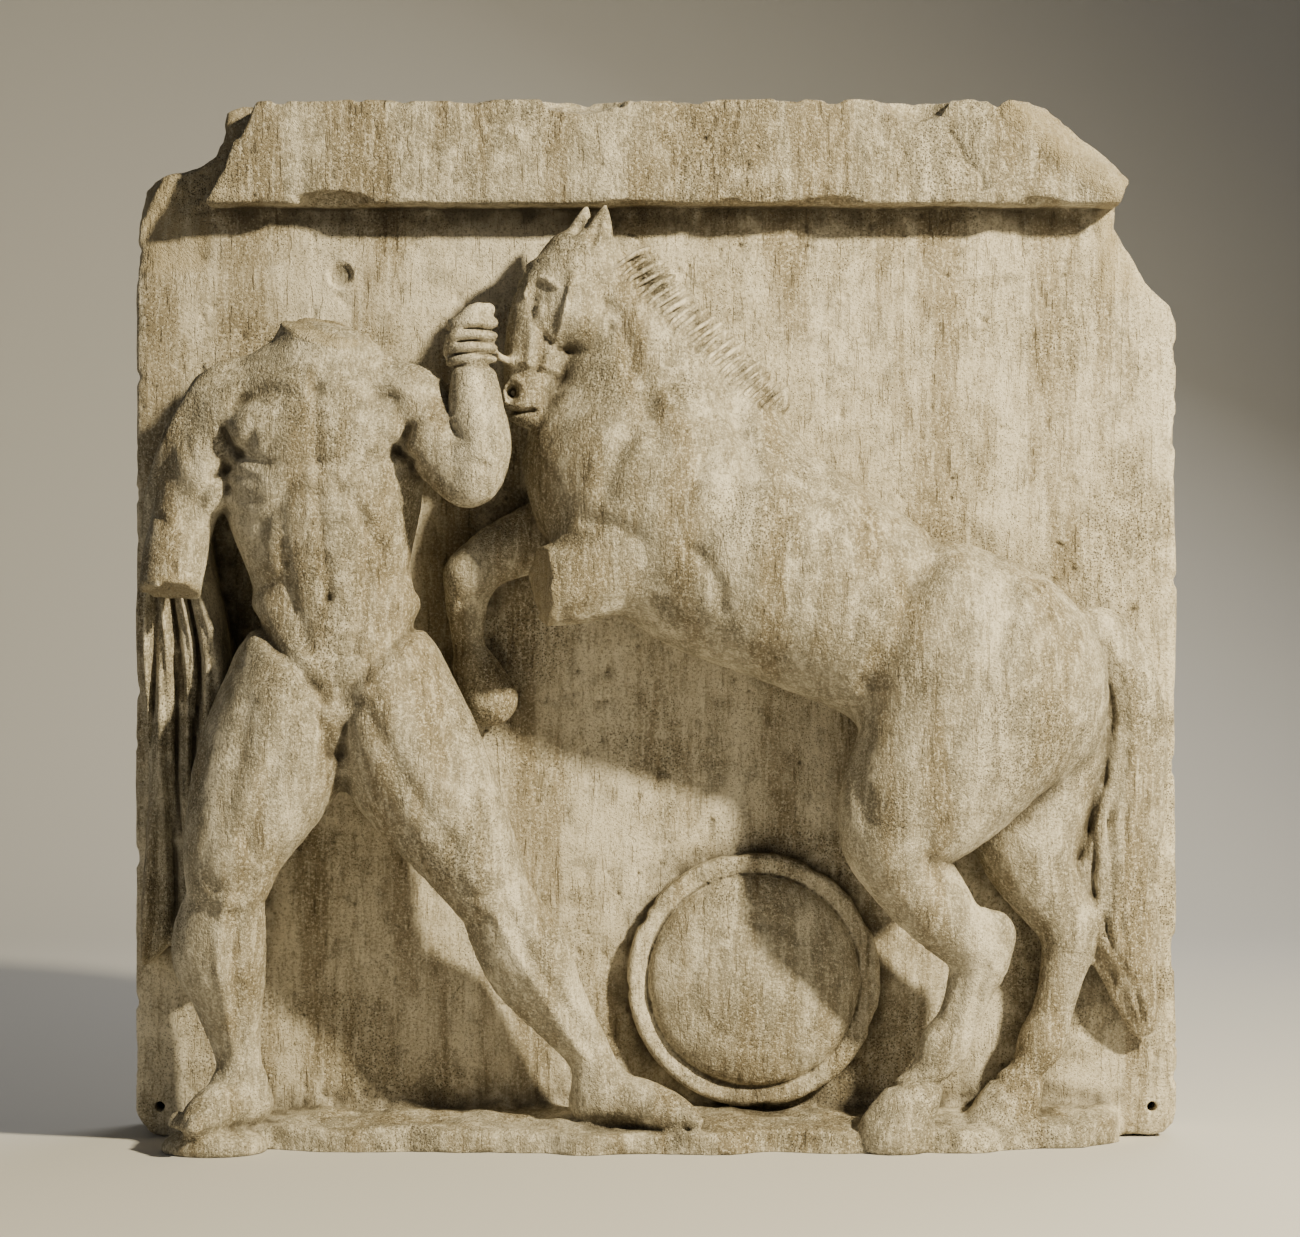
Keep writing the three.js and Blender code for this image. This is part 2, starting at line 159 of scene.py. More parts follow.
def squared_distance(points: Array, x: Array, z: Array) -> Array:
    """Squared distance of a flat grid's places from a line.

    Args:
        points: Rows of across and up along the line.
        x: Places across, as a column.
        z: Places up, as a row.

    Returns:
        One value for each x and z.
    """
    near = np.full((x.size, z.size), FARTHEST_SQUARED, np.float32)
    for a, b in zip(points[:-1], points[1:]):
        along = b - a
        t = np.clip(((x - a[0]) * along[0] + (z - a[1]) * along[1]) / max(along @ along, 1e-6), 0, 1)
        near = np.minimum(near, (x - a[0] - along[0] * t) ** 2 + (z - a[1] - along[1] * t) ** 2)
    return near


def blend_corners(lattice: Array, cell: Array, share: Array) -> Array:
    """Blend the eight lattice values round each loose place.

    Args:
        lattice: Values on the lattice.
        cell: Lattice point below each place.
        share: How far each place is towards the next lattice point, along each axis.

    Returns:
        One value for each place.
    """
    total = np.zeros(len(cell), np.float32)
    for corner in range(8):
        step = np.array([corner & 1, corner >> 1 & 1, corner >> 2 & 1])
        weight = np.prod(np.where(step, share, 1 - share), axis=1)
        total += weight * lattice[tuple((cell + step).T)]
    return total


def sink_dints(surface: Array, across: Array, up: Array, rows: tuple[Station, ...]) -> None:
    """Sink soft round dints into a drawn surface.

    Args:
        surface: Depths, changed in place.
        across: Places across, as a column.
        up: Places up, as a row.
        rows: Across, up, radius and depth of each dint.
    """
    for x, z, radius, depth in rows:
        surface += depth * np.exp(-(((across - x) ** 2 + (up - z) ** 2) / radius**2))


@dataclass(frozen=True)
class Noise:
    """Smooth random values between about -1 and 1 on a lattice that is fixed by its seed."""

    seed: int

    def _weights(self, places: Array, size: float) -> tuple[Array, int]:
        """Interpolation weights of evenly spaced lattice points for places along one axis.

        Args:
            places: Places along the axis in millimetres.
            size: Lattice spacing.

        Returns:
            A matrix from lattice values to places, and the number of lattice points.
        """
        at = (places - places.min()) / size
        cell = np.floor(at).astype(int)
        t = ease(at - cell, 0, 1)
        count = int(cell.max()) + 2
        matrix = np.zeros((len(places), count), np.float32)
        rows = np.arange(len(places))
        matrix[rows, cell] = 1 - t
        matrix[rows, cell + 1] = t
        return matrix, count

    def sheet(self, xs: Array, zs: Array, size: float, octaves: int = 1, stretch: float = 1.0) -> Array:
        """Values over a flat grid.

        Args:
            xs: Places across.
            zs: Places up.
            size: Size of the largest lumps across.
            octaves: Number of ever finer layers.
            stretch: How many times taller than wide the lumps are.

        Returns:
            One value for each x and z.
        """
        total = np.zeros((len(xs), len(zs)), np.float32)
        for layer in range(octaves):
            cell = size / 2**layer
            across, nx = self._weights(xs, cell)
            up, nz = self._weights(zs, cell * stretch)
            rng = np.random.default_rng(self.seed + layer)
            total += (across @ rng.uniform(-1, 1, (nx, nz)).astype(np.float32) @ up.T) / 2**layer
        return total / (2 - 2 ** (1 - octaves)) * LIVELINESS

    def volume(self, xs: Array, ys: Array, zs: Array, size: float, octaves: int = 1) -> Array:
        """Values over a box.

        Args:
            xs: Places across.
            ys: Places in depth.
            zs: Places up.
            size: Size of the largest lumps.
            octaves: Number of ever finer layers.

        Returns:
            One value for each x, y and z.
        """
        total = np.zeros((len(xs), len(ys), len(zs)), np.float32)
        for layer in range(octaves):
            cell = size / 2**layer
            (ax, nx), (ay, ny), (az, nz) = (self._weights(places, cell) for places in (xs, ys, zs))
            rng = np.random.default_rng(self.seed + 31 * layer)
            lattice = rng.uniform(-1, 1, (nx, ny, nz)).astype(np.float32)
            lattice = np.tensordot(ax, lattice, (1, 0))
            lattice = np.moveaxis(np.tensordot(ay, lattice, (1, 1)), 0, 1)
            total += np.moveaxis(np.tensordot(az, lattice, (1, 2)), 0, 2) / 2**layer
        return total / (2 - 2 ** (1 - octaves)) * LIVELINESS

    def at_points(self, points: Array, size: float | Array) -> Array:
        """Values at loose points.

        Args:
            points: Rows of x, y and z.
            size: Lattice spacing, or one for each axis.

        Returns:
            One value for each point.
        """
        at = (points - points.min(0)) / size
        cell = np.floor(at).astype(int)
        rng = np.random.default_rng(self.seed)
        lattice = rng.uniform(-1, 1, tuple(cell.max(0) + 2)).astype(np.float32)
        return blend_corners(lattice, cell, ease(at - cell, 0, 1))


@dataclass
class Grid:
    """The evenly spaced places of the volume, in millimetres from the middle of the slab's foot."""

    spacing: float
    low: tuple[float, float, float] = (-686, -232, -12)
    high: tuple[float, float, float] = (686, 160, 1336)

    def __post_init__(self) -> None:
        """Lay out the three axes."""
        self.xs, self.ys, self.zs = (
            np.arange(first, last + self.spacing, self.spacing, dtype=np.float32)
            for first, last in zip(self.low, self.high)
        )

    @property
    def start(self) -> Array:
        """The lowest place along each axis."""
        return np.array([self.xs[0], self.ys[0], self.zs[0]])

    def span(self, low: Array, high: Array) -> tuple[slice, slice, slice]:
        """Find a box in the grid.

        Args:
            low: Lowest corner.
            high: Highest corner.

        Returns:
            One slice for each axis.
        """
        cuts = []
        for axis, places in enumerate((self.xs, self.ys, self.zs)):
            first = int(np.clip(np.searchsorted(places, low[axis]) - 1, 0, len(places)))
            last = int(np.clip(np.searchsorted(places, high[axis]) + 1, 0, len(places)))
            cuts.append(slice(first, last))
        return tuple(cuts)


@dataclass
class Break:
    """A place where a limb is lost: its middle, the way the lost part went and the scar's reach."""

    at: tuple[float, float, float]
    way: tuple[float, float, float]
    reach: float = 60
    rough: float = 5.5

    def height(self, x: Array, y: Array, z: Array) -> Array:
        """Measure places against the broken face.

        Args:
            x: Places across.
            y: Places in depth.
            z: Places up.

        Returns:
            How far each place lies beyond the face.
        """
        way = np.array([self.way[0], -self.way[2], self.way[1]])
        way = way / np.linalg.norm(way)
        return (x - self.at[0]) * way[0] + (y + self.at[2]) * way[1] + (z - self.at[1]) * way[2]


@dataclass
class Form:
    """One carved form, as signed distances over its own box of the grid."""

    grid: Grid
    low: tuple[float, float, float]
    high: tuple[float, float, float]

    def __post_init__(self) -> None:
        """Start with empty air."""
        self.cuts = self.grid.span(self.low, self.high)
        axes = (self.grid.xs, self.grid.ys, self.grid.zs)
        self.xs, self.ys, self.zs = (places[cut] for places, cut in zip(axes, self.cuts))
        self.values = np.full((len(self.xs), len(self.ys), len(self.zs)), FAR, np.float32)
        self.relief = np.zeros((len(self.xs), len(self.zs)), np.float32)

    def region(self, low: Array, high: Array) -> tuple[tuple[slice, ...], Array, Array, Array]:
        """Find the part of this form inside a box.

        Args:
            low: Lowest corner.
            high: Highest corner.

        Returns:
            One slice for each axis, and the x, y and z of its places as open axes.
        """
        cuts = []
        axes = []
        for axis, places in enumerate((self.xs, self.ys, self.zs)):
            first = int(np.clip(np.searchsorted(places, low[axis]), 0, len(places) - 1))
            last = int(np.clip(np.searchsorted(places, high[axis]), first + 1, len(places)))
            cuts.append(slice(first, last))
            shape = [1, 1, 1]
            shape[axis] = last - first
            axes.append(places[first:last].reshape(shape))
        return tuple(cuts), axes[0], axes[1], axes[2]

    def limb(self, stations: list[Station], blend: float = 16, lost: Break | None = None) -> None:
        """Add a rounded limb through stations.

        Args:
            stations: Rows of across, up, depth, half width and, if not plain, thickness over width.
            blend: Size of the hollow where it meets what is there.
            lost: Where it is broken off, if it is.
        """
        rows = np.array([[*s, PLAIN_FLATNESS][:5] for s in stations], float)
        rows = spline(rows[:, [0, 2, 1, 3, 4]] * [1, -1, 1, 1, 1], LIMB_STEPS)
        margin = rows[:, 3].max() + MARGIN
        whole, _, _, _ = self.region(rows[:, :3].min(0) - margin, rows[:, :3].max(0) + margin)
        made = np.full([c.stop - c.start for c in whole], FAR, np.float32)
        for a, b in zip(rows[:-1], rows[1:]):
            reach = max(a[3], b[3]) + MARGIN
            part, x, y, z = self.region(np.minimum(a, b)[:3] - reach, np.maximum(a, b)[:3] + reach)
            along = b[:3] - a[:3]
            length = max(float(along @ along), 1e-6)
            t = ((x - a[0]) * along[0] + (y - a[1]) * along[1] + (z - a[2]) * along[2]) / length
            t = np.clip(t, 0, 1).astype(np.float32)
            flat = a[4] + (b[4] - a[4]) * t
            across = (x - a[0] - along[0] * t) ** 2 + (z - a[2] - along[2] * t) ** 2
            away = np.sqrt(across + ((y - a[1] - along[1] * t) / flat) ** 2) - (a[3] + (b[3] - a[3]) * t)
            inner = tuple(slice(p.start - w.start, p.stop - w.start) for p, w in zip(part, whole))
            made[inner] = np.minimum(made[inner], away)
        if lost:
            x, y, z = (p[c] for p, c in zip((self.xs, self.ys, self.zs), whole))
            rough = Noise(int(abs(lost.at[0]))).volume(x, y, z, 22, 3) * lost.rough
            face = lost.height(x[:, None, None], y[None, :, None], z[None, None, :]) + rough
            made = soft_max(made, face.astype(np.float32), 3)
        self.values[whole] = soft_min(self.values[whole], made, blend)

    def mass(self, middle: Station, half: Station, tilt: float = 0, blend: float = 16) -> None:
        """Add a rounded mass such as a muscle.

        Args:
            middle: Across, up and depth.
            half: Half sizes across, up and in depth.
            tilt: Turn in the plane of the slab, in degrees.
            blend: Size of the hollow where it meets what is there.
        """
        reach = max(half) + MARGIN
        centre = np.array([middle[0], -middle[2], middle[1]])
        cuts, x, y, z = self.region(centre - reach, centre + reach)
        turn = math.radians(tilt)
        u = (x - centre[0]) * math.cos(turn) - (z - centre[2]) * math.sin(turn)
        w = (x - centre[0]) * math.sin(turn) + (z - centre[2]) * math.cos(turn)
        v = y - centre[1]
        near = np.sqrt((u / half[0]) ** 2 + (w / half[1]) ** 2 + (v / half[2]) ** 2)
        slope = np.sqrt((u / half[0] ** 2) ** 2 + (w / half[1] ** 2) ** 2 + (v / half[2] ** 2) ** 2)
        away = near * (near - 1) / np.maximum(slope, 1e-4)
        self.values[cuts] = soft_min(self.values[cuts], away.astype(np.float32), blend)

    def masses(self, *rows: tuple) -> None:
        """Add several masses, each given as middle, half sizes, tilt and blend."""
        for row in rows:
            self.mass(*row)

    def stroke(self, points: list[Station], width: float, depth: float) -> None:
        """Draw a soft furrow on the front, or a ridge where the depth is negative.

        Args:
            points: Across and up along the line.
            width: Half width of the stroke.
            depth: How deep its middle is.
        """
        rows = np.array(points, float)
        if len(rows) > 2:
            rows = spline(rows, STROKE_STEPS)
        reach = 3 * width
        cuts, x, _, z = self.region(
            np.array([rows[:, 0].min() - reach, 0, rows[:, 1].min() - reach]),
            np.array([rows[:, 0].max() + reach, 0, rows[:, 1].max() + reach]),
        )
        near = squared_distance(rows, x.reshape(-1, 1), z.reshape(1, -1))
        self.relief[cuts[0], cuts[2]] += depth * np.exp(-near / width**2)

    def strokes(self, *rows: tuple) -> None:
        """Draw several strokes, each given as half width, depth and then its points."""
        for width, depth, *points in rows:
            self.stroke(points, width, depth)

    def dint(self, x: float, z: float, radius: float, depth: float, tall: float = 1.0) -> None:
        """Sink a soft round dint into the front, or raise a boss where the depth is negative.

        Args:
            x: Middle across.
            z: Middle up.
            radius: Half width.
            depth: How deep its middle is.
            tall: Height over width.
        """
        across = (self.xs[:, None] - x) / radius
        up = (self.zs[None, :] - z) / (radius * tall)
        self.relief += depth * np.exp(-(across**2) - up**2)

    def dints(self, *rows: Station) -> None:
        """Sink several dints, each given as across, up, radius, depth and, if not 1, height over width."""
        for row in rows:
            self.dint(*row)

    def finish(self, rough: float = 0.0, seed: int = 1, strength: float = 1.0) -> None:
        """Sink the drawn relief into the form, and leave the surface a little uneven by hand.

        Args:
            rough: Size of the unevenness.
            seed: Seed of its noise.
            strength: Depth of the relief over the depth it was drawn with.
        """
        uneven = Noise(seed).sheet(self.xs, self.zs, 46, 3) * rough if rough else 0
        self.values += (self.relief * strength + uneven)[:, None, :]


@dataclass
class Block:
    """The whole stone while it is being carved."""

    grid: Grid
    breaks: list[Break] = field(default_factory=list)

    def __post_init__(self) -> None:
        """Start with empty air."""
        shape = (len(self.grid.xs), len(self.grid.ys), len(self.grid.zs))
        self.values = np.full(shape, FAR, np.float32)

    def form(self, low: Station, high: Station) -> Form:
        """A new empty form over a box given across, in y and up."""
        return Form(self.grid, low, high)

    def join(self, form: Form, blend: float) -> None:
        """Join a finished form to the stone with a hollow of the given size."""
        self.values[form.cuts] = soft_min(self.values[form.cuts], form.values, blend)


def outline_distance(points: list[Station], xs: Array, zs: Array) -> Array:
    """Signed distance of a flat grid's places from a closed outline, negative inside.

    Args:
        points: Corners, across and up.
        xs: Places across.
        zs: Places up.

    Returns:
        One distance for each x and z.
    """
    x = xs[:, None]
    z = zs[None, :]
    corners = np.array([*points, points[0]], float)
    near = squared_distance(corners, x, z)
    inside = np.zeros(near.shape, bool)
    for a, b in zip(corners[:-1], corners[1:]):
        if a[1] != b[1]:
            crossing = (a[1] > z) != (b[1] > z)
            inside ^= crossing & (x < a[0] + (b - a)[0] * (z - a[1]) / (b - a)[1])
    return np.where(inside, -1, 1) * np.sqrt(near)


@dataclass
class Slab:
    """The slab under its band, with broken top corners, worn edges, chips, a crack and drilled holes."""

    width: float = 1340
    height: float = 1325
    thickness: float = 150
    band_height: float = 133
    band_proud: float = 62
    left_break_width: float = 104
    left_break_drop: float = 69
    left_end_lean: float = 74
    right_break_width: float = 181
    right_break_drop: float = 279
    corner_wear: float = 34
    hole_radius: float = 6.5
    hole_depth: float = 60
    hole_inset: float = 33
    hole_height: float = 39
    ledge_height: float = 34
    ledge_proud: float = 165
    ledge_inset: float = 78
    ledge_reach_up: float = 80

    @property
    def half(self) -> float:
        """Half of the width."""
        return self.width / 2

    @property
    def band_foot(self) -> float:
        """Height of the band's lower edge."""
        return self.height - self.band_height

    def outline(self) -> list[Station]:
        """Draw the whole slab from the front.

        Returns:
            Corners, across and up.
        """
        right = [(0, 1), (0.044, 0.921), (0.166, 0.839), (0.331, 0.649), (0.42, 0.556), (0.398, 0.477)]
        right += [(0.326, 0.362), (0.508, 0.244), (0.663, 0.168), (0.934, 0.022), (1.1, 0)]
        left = [(1.33, 0), (1.13, 0.12), (1, 0.91), (0.77, 1.09), (0.23, 1.29), (0.05, 1.5), (0, 1.9)]
        points = [(self.half - share * self.right_break_width, self.height - down * self.right_break_drop)
                  for share, down in right]
        points += [(share * self.left_break_width - self.half, self.height - down * self.left_break_drop)
                   for share, down in left]
        wear = self.corner_wear
        for side, turns in ((-1, (90, 60, 30, 0)), (1, (0, 30, 60, 90))):
            for turn in turns:
                angle = math.radians(turn)
                across = side * (self.half - wear + wear * math.sin(angle))
                points.append((across, wear - wear * math.cos(angle)))
        return points

    def carve(self, block: Block) -> None:
        """Cut the slab, the band and the strip of ground.

        Args:
            block: The stone that is carved.
        """
        form = block.form((-690, -232, -12), (690, 160, 1340))
        xs, zs = form.xs, form.zs
        across, up = xs[:, None], zs[None, :]
        y = form.ys[None, :, None]
        right_break = ease(across, self.half - 210, self.half - 150) * ease(up, 1030, 1070)
        left_break = ease(-across, self.half - 125, self.half - 80) * ease(up, 1060, 1150)
        broken = np.clip(right_break + left_break, 0, 1)
        wander = 0.5 + 0.5 * Noise(11).sheet(xs, zs, 70, 4)
        nibble = 9 * np.maximum(Noise(12).sheet(xs, zs, 26, 3) - 0.35, 0)
        edge = outline_distance(self.outline(), xs, zs) + wander * (0.8 + 5 * broken)
        arris = np.maximum(ease(-y, -46, 0), ease(y, self.thickness - 36, self.thickness))
        sides = edge[:, None, :] + nibble[:, None, :] * arris + 1.5
        sides = (sides + 2 * Noise(13).volume(xs, form.ys, zs, 62, 3)).astype(np.float32)
        ground = self._ground(xs, zs, edge + nibble)
        slab = soft_max(sides, ground[:, None, :] - y, 7)
        slab = soft_max(slab, y - self.thickness + 1 + Noise(14).sheet(xs, zs, 90, 4)[:, None, :], 4)
        slab = np.minimum(slab, self._band(form, sides))
        slab = soft_min(slab, self._ledge(form), 9)
        form.values = slab.astype(np.float32)
        self._fractures(form)
        self._chips(form)
        self._holes(form)
        block.join(form, 1)

    def _ground(self, xs: Array, zs: Array, edge: Array) -> Array:
        """Work out the worn ground of the relief.

        Args:
            xs: Places across.
            zs: Places up.
            edge: Distance of each place from the outline.

        Returns:
            How far the ground lies behind its plane.
        """
        across, up = xs[:, None], zs[None, :]
        ground = 1.5 * Noise(21).sheet(xs, zs, 170, 2) + 0.5 * Noise(22).sheet(xs, zs, 24, 3, stretch=2.5)
        ground = ground + 7 * np.maximum(Noise(23).sheet(xs, zs, 13, 2) - 0.72, 0)
        ground += 2.6 * ease(edge, -26, 0)
        lost = ease(-across, self.half - 118, self.half - 72) * ease(up, 1096, 1135)
        ground += lost * (9 + 7 * Noise(24).sheet(xs, zs, 44, 4))
        near_right = ease(across, self.half - 96, self.half - 70) * ease(up, 1075, 1120)
        ground += near_right * (8 + 6 * Noise(25).sheet(xs, zs, 40, 4))
        # A ring-shaped dint in the upper left, and single dints over the ground.
        ring = np.hypot(across + 405, up - 1107)
        ground += 5.5 * ease(-ring, -19, -11) - 1.6 * np.exp(-(((ring - 19) / 4) ** 2))
        sink_dints(ground, across, up, (
            (-330, 1128, 9, 3), (-352, 1098, 6, 2.4), (318, 1120, 7, 2.5), (420, 1010, 8, 2.4),
            (556, 940, 6, 2.2), (300, 930, 7, 2.2), (-110, 1150, 8, 2.2), (-20, 520, 8, 2.2),
        ))
        flake = Noise(26).sheet(xs, zs, 18, 3) * 6
        patch = np.hypot((across - 430) / 1.6, up - 1085) + flake
        ground += 2.2 * ease(-patch, -26, -22)
        return ground

    def _band(self, form: Form, sides: Array) -> Array:
        """Work out the projecting band with its leaning left end.

        Args:
            form: The slab's form, for its places.
            sides: Distance of each place from the slab's sides.

        Returns:
            Distances from the band.
        """
        xs, zs = form.xs, form.zs
        across, up = xs[:, None], zs[None, :]
        y = form.ys[None, :, None]
        face = 1.3 * Noise(31).sheet(xs, zs, 120, 2) + 0.6 * Noise(32).sheet(xs, zs, 20, 3)
        face += 8 * np.maximum(Noise(33).sheet(xs, zs, 11, 2) - 0.75, 0)
        sink_dints(face, across, up, ((-283, 1262, 5, 5), (-289, 1253, 3.5, 4), (-277, 1256, 3.5, 4),
                                      (-450, 1240, 4, 3)))
        crack = ((372, 1284), (386, 1262), (392, 1246), (410, 1232), (416, 1214), (402, 1204), (392, 1190))
        near = squared_distance(np.array(crack, float), across, up).astype(float)
        face += 4.5 * np.exp(-near / 3.2**2) + 2.4 * ease(-np.sqrt(near), -26, -4) * ease(across, 372, 420)
        foot = self.band_foot + 1.6 * Noise(34).sheet(xs, zs, 60, 3)
        start = -self.half + self.left_break_width - 0.19 * self.left_end_lean
        lean = start + self.left_end_lean * np.clip((up - self.band_foot) / self.band_height, 0, 1) ** 0.8
        grooves = 4 * Noise(35).sheet(xs, zs, 15, 2, stretch=5)
        left = (lean - across) * 0.85 + grooves
        flat = soft_max(foot - up, left, 6).astype(np.float32)
        worn = 4 + 5 * np.maximum(Noise(36).sheet(xs, zs, 50, 3), 0)
        front = -self.band_proud + face
        band = np.maximum(soft_max(sides, flat[:, None, :], 4), y - 30)
        wear = worn[:, None, :]
        gap = np.maximum(wear - np.abs(band - (front[:, None, :] - y)), 0) / wear
        return np.maximum(band, front[:, None, :] - y) + gap * gap * wear / 4

    def _ledge(self, form: Form) -> Array:
        """Work out the strip of rocky ground along the foot.

        Args:
            form: The slab's form, for its places.

        Returns:
            Distances from the strip.
        """
        xs, ys, zs = form.xs, form.ys, form.zs
        half = self.half - self.ledge_inset
        bays = 14
        bay = np.clip((xs + half) / (2 * half), 0, 1) * bays
        ends = np.maximum(np.sin(np.pi * bay / bays), 0) ** 0.26
        wander = 0.9 + 0.1 * np.sin(2.3 * bay) * np.cos(1.1 * bay)
        reach = np.maximum(self.ledge_proud * ends * wander, 30)
        low = zs < self.ledge_reach_up
        rocks = Noise(41).volume(xs, ys, zs[low], 52, 3)
        out = np.maximum(-ys, 0)[None, :]
        top = self.ledge_height * (1.17 - 0.45 * out / self.ledge_proud)
        ledge = np.full(form.values.shape, FAR, np.float32)
        height = zs[low][None, None, :] - top[:, :, None] + 6 * rocks
        front = -ys[None, :, None] - reach[:, None, None] + 9 * rocks + 3
        limits = np.maximum((np.abs(xs) - half)[:, None, None], ys[None, :, None] - 30)
        ledge[:, :, low] = soft_max(soft_max(height, front, 10), limits, 8)
        return ledge

    def _fractures(self, form: Form) -> None:
        """Cut slanting fractures across the front of the two broken top corners.

        Args:
            form: The slab's form.
        """
        reach = 190
        planes = (((445, 1325), (0.51, 0.6, 0.62)), ((-566, 1300), (-0.8, 0.5, 0.33)))
        for (x0, z0), (nx, nd, nz) in planes:
            low = np.array([x0 - reach, -90, z0 - reach])
            cuts, x, y, z = form.region(low, low + [2 * reach, 240, 2 * reach])
            lumps = Noise(int(51 + abs(x0))).volume(x.ravel(), y.ravel(), z.ravel(), 46, 4)
            beyond = (x - x0) * nx - (y + self.band_proud) * nd + (z - z0) * nz + 6 * lumps
            form.values[cuts] = soft_max(form.values[cuts], beyond.astype(np.float32), 4)

    def _chips(self, form: Form) -> None:
        """Chip the front edges of the band.

        Args:
            form: The slab's form.
        """
        chips = ((-0.615, Edge.LOWER, 52, 16), (-0.06, Edge.LOWER, 30, 5), (0.32, Edge.LOWER, 42, 6),
                 (0.49, Edge.UPPER, 46, 30), (-0.134, Edge.UPPER, 60, 18), (0.14, Edge.LOWER, 14, 8),
                 (0.72, Edge.LOWER, 26, 8), (-0.35, Edge.UPPER, 22, 8), (0.05, Edge.UPPER, 18, 7))
        for share, edge, wide, tall in chips:
            x0 = share * self.half
            z0 = self.height if edge is Edge.UPPER else self.band_foot
            deep = 0.6 * self.band_proud * min(1, tall / 14)
            middle = np.array([x0, -self.band_proud, z0])
            room = np.array([wide, deep, tall]) + 20
            cuts, x, y, z = form.region(middle - room, middle + room)
            lumps = Noise(int(61 + abs(x0))).volume(x.ravel(), y.ravel(), z.ravel(), 18, 3)
            ahead = y + self.band_proud
            near = np.sqrt(((x - x0) / wide) ** 2 + (ahead / deep) ** 2 + ((z - z0) / tall) ** 2)
            away = (near - 1) * min(tall, deep) + 3 * lumps
            form.values[cuts] = soft_max(form.values[cuts], -away.astype(np.float32), 3)

    def _holes(self, form: Form) -> None:
        """Drill the fixing holes of the lower corners.

        Args:
            form: The slab's form.
        """
        room = 20
        for side in Side:
            x0 = side.value * (self.half - self.hole_inset)
            low = np.array([x0 - room, -room, self.hole_height - room])
            cuts, x, y, z = form.region(low, low + [2 * room, room + self.hole_depth, 2 * room])
            bore = np.hypot(x - x0, z - self.hole_height) - self.hole_radius
            form.values[cuts] = np.maximum(form.values[cuts], np.minimum(-bore, self.hole_depth - y))


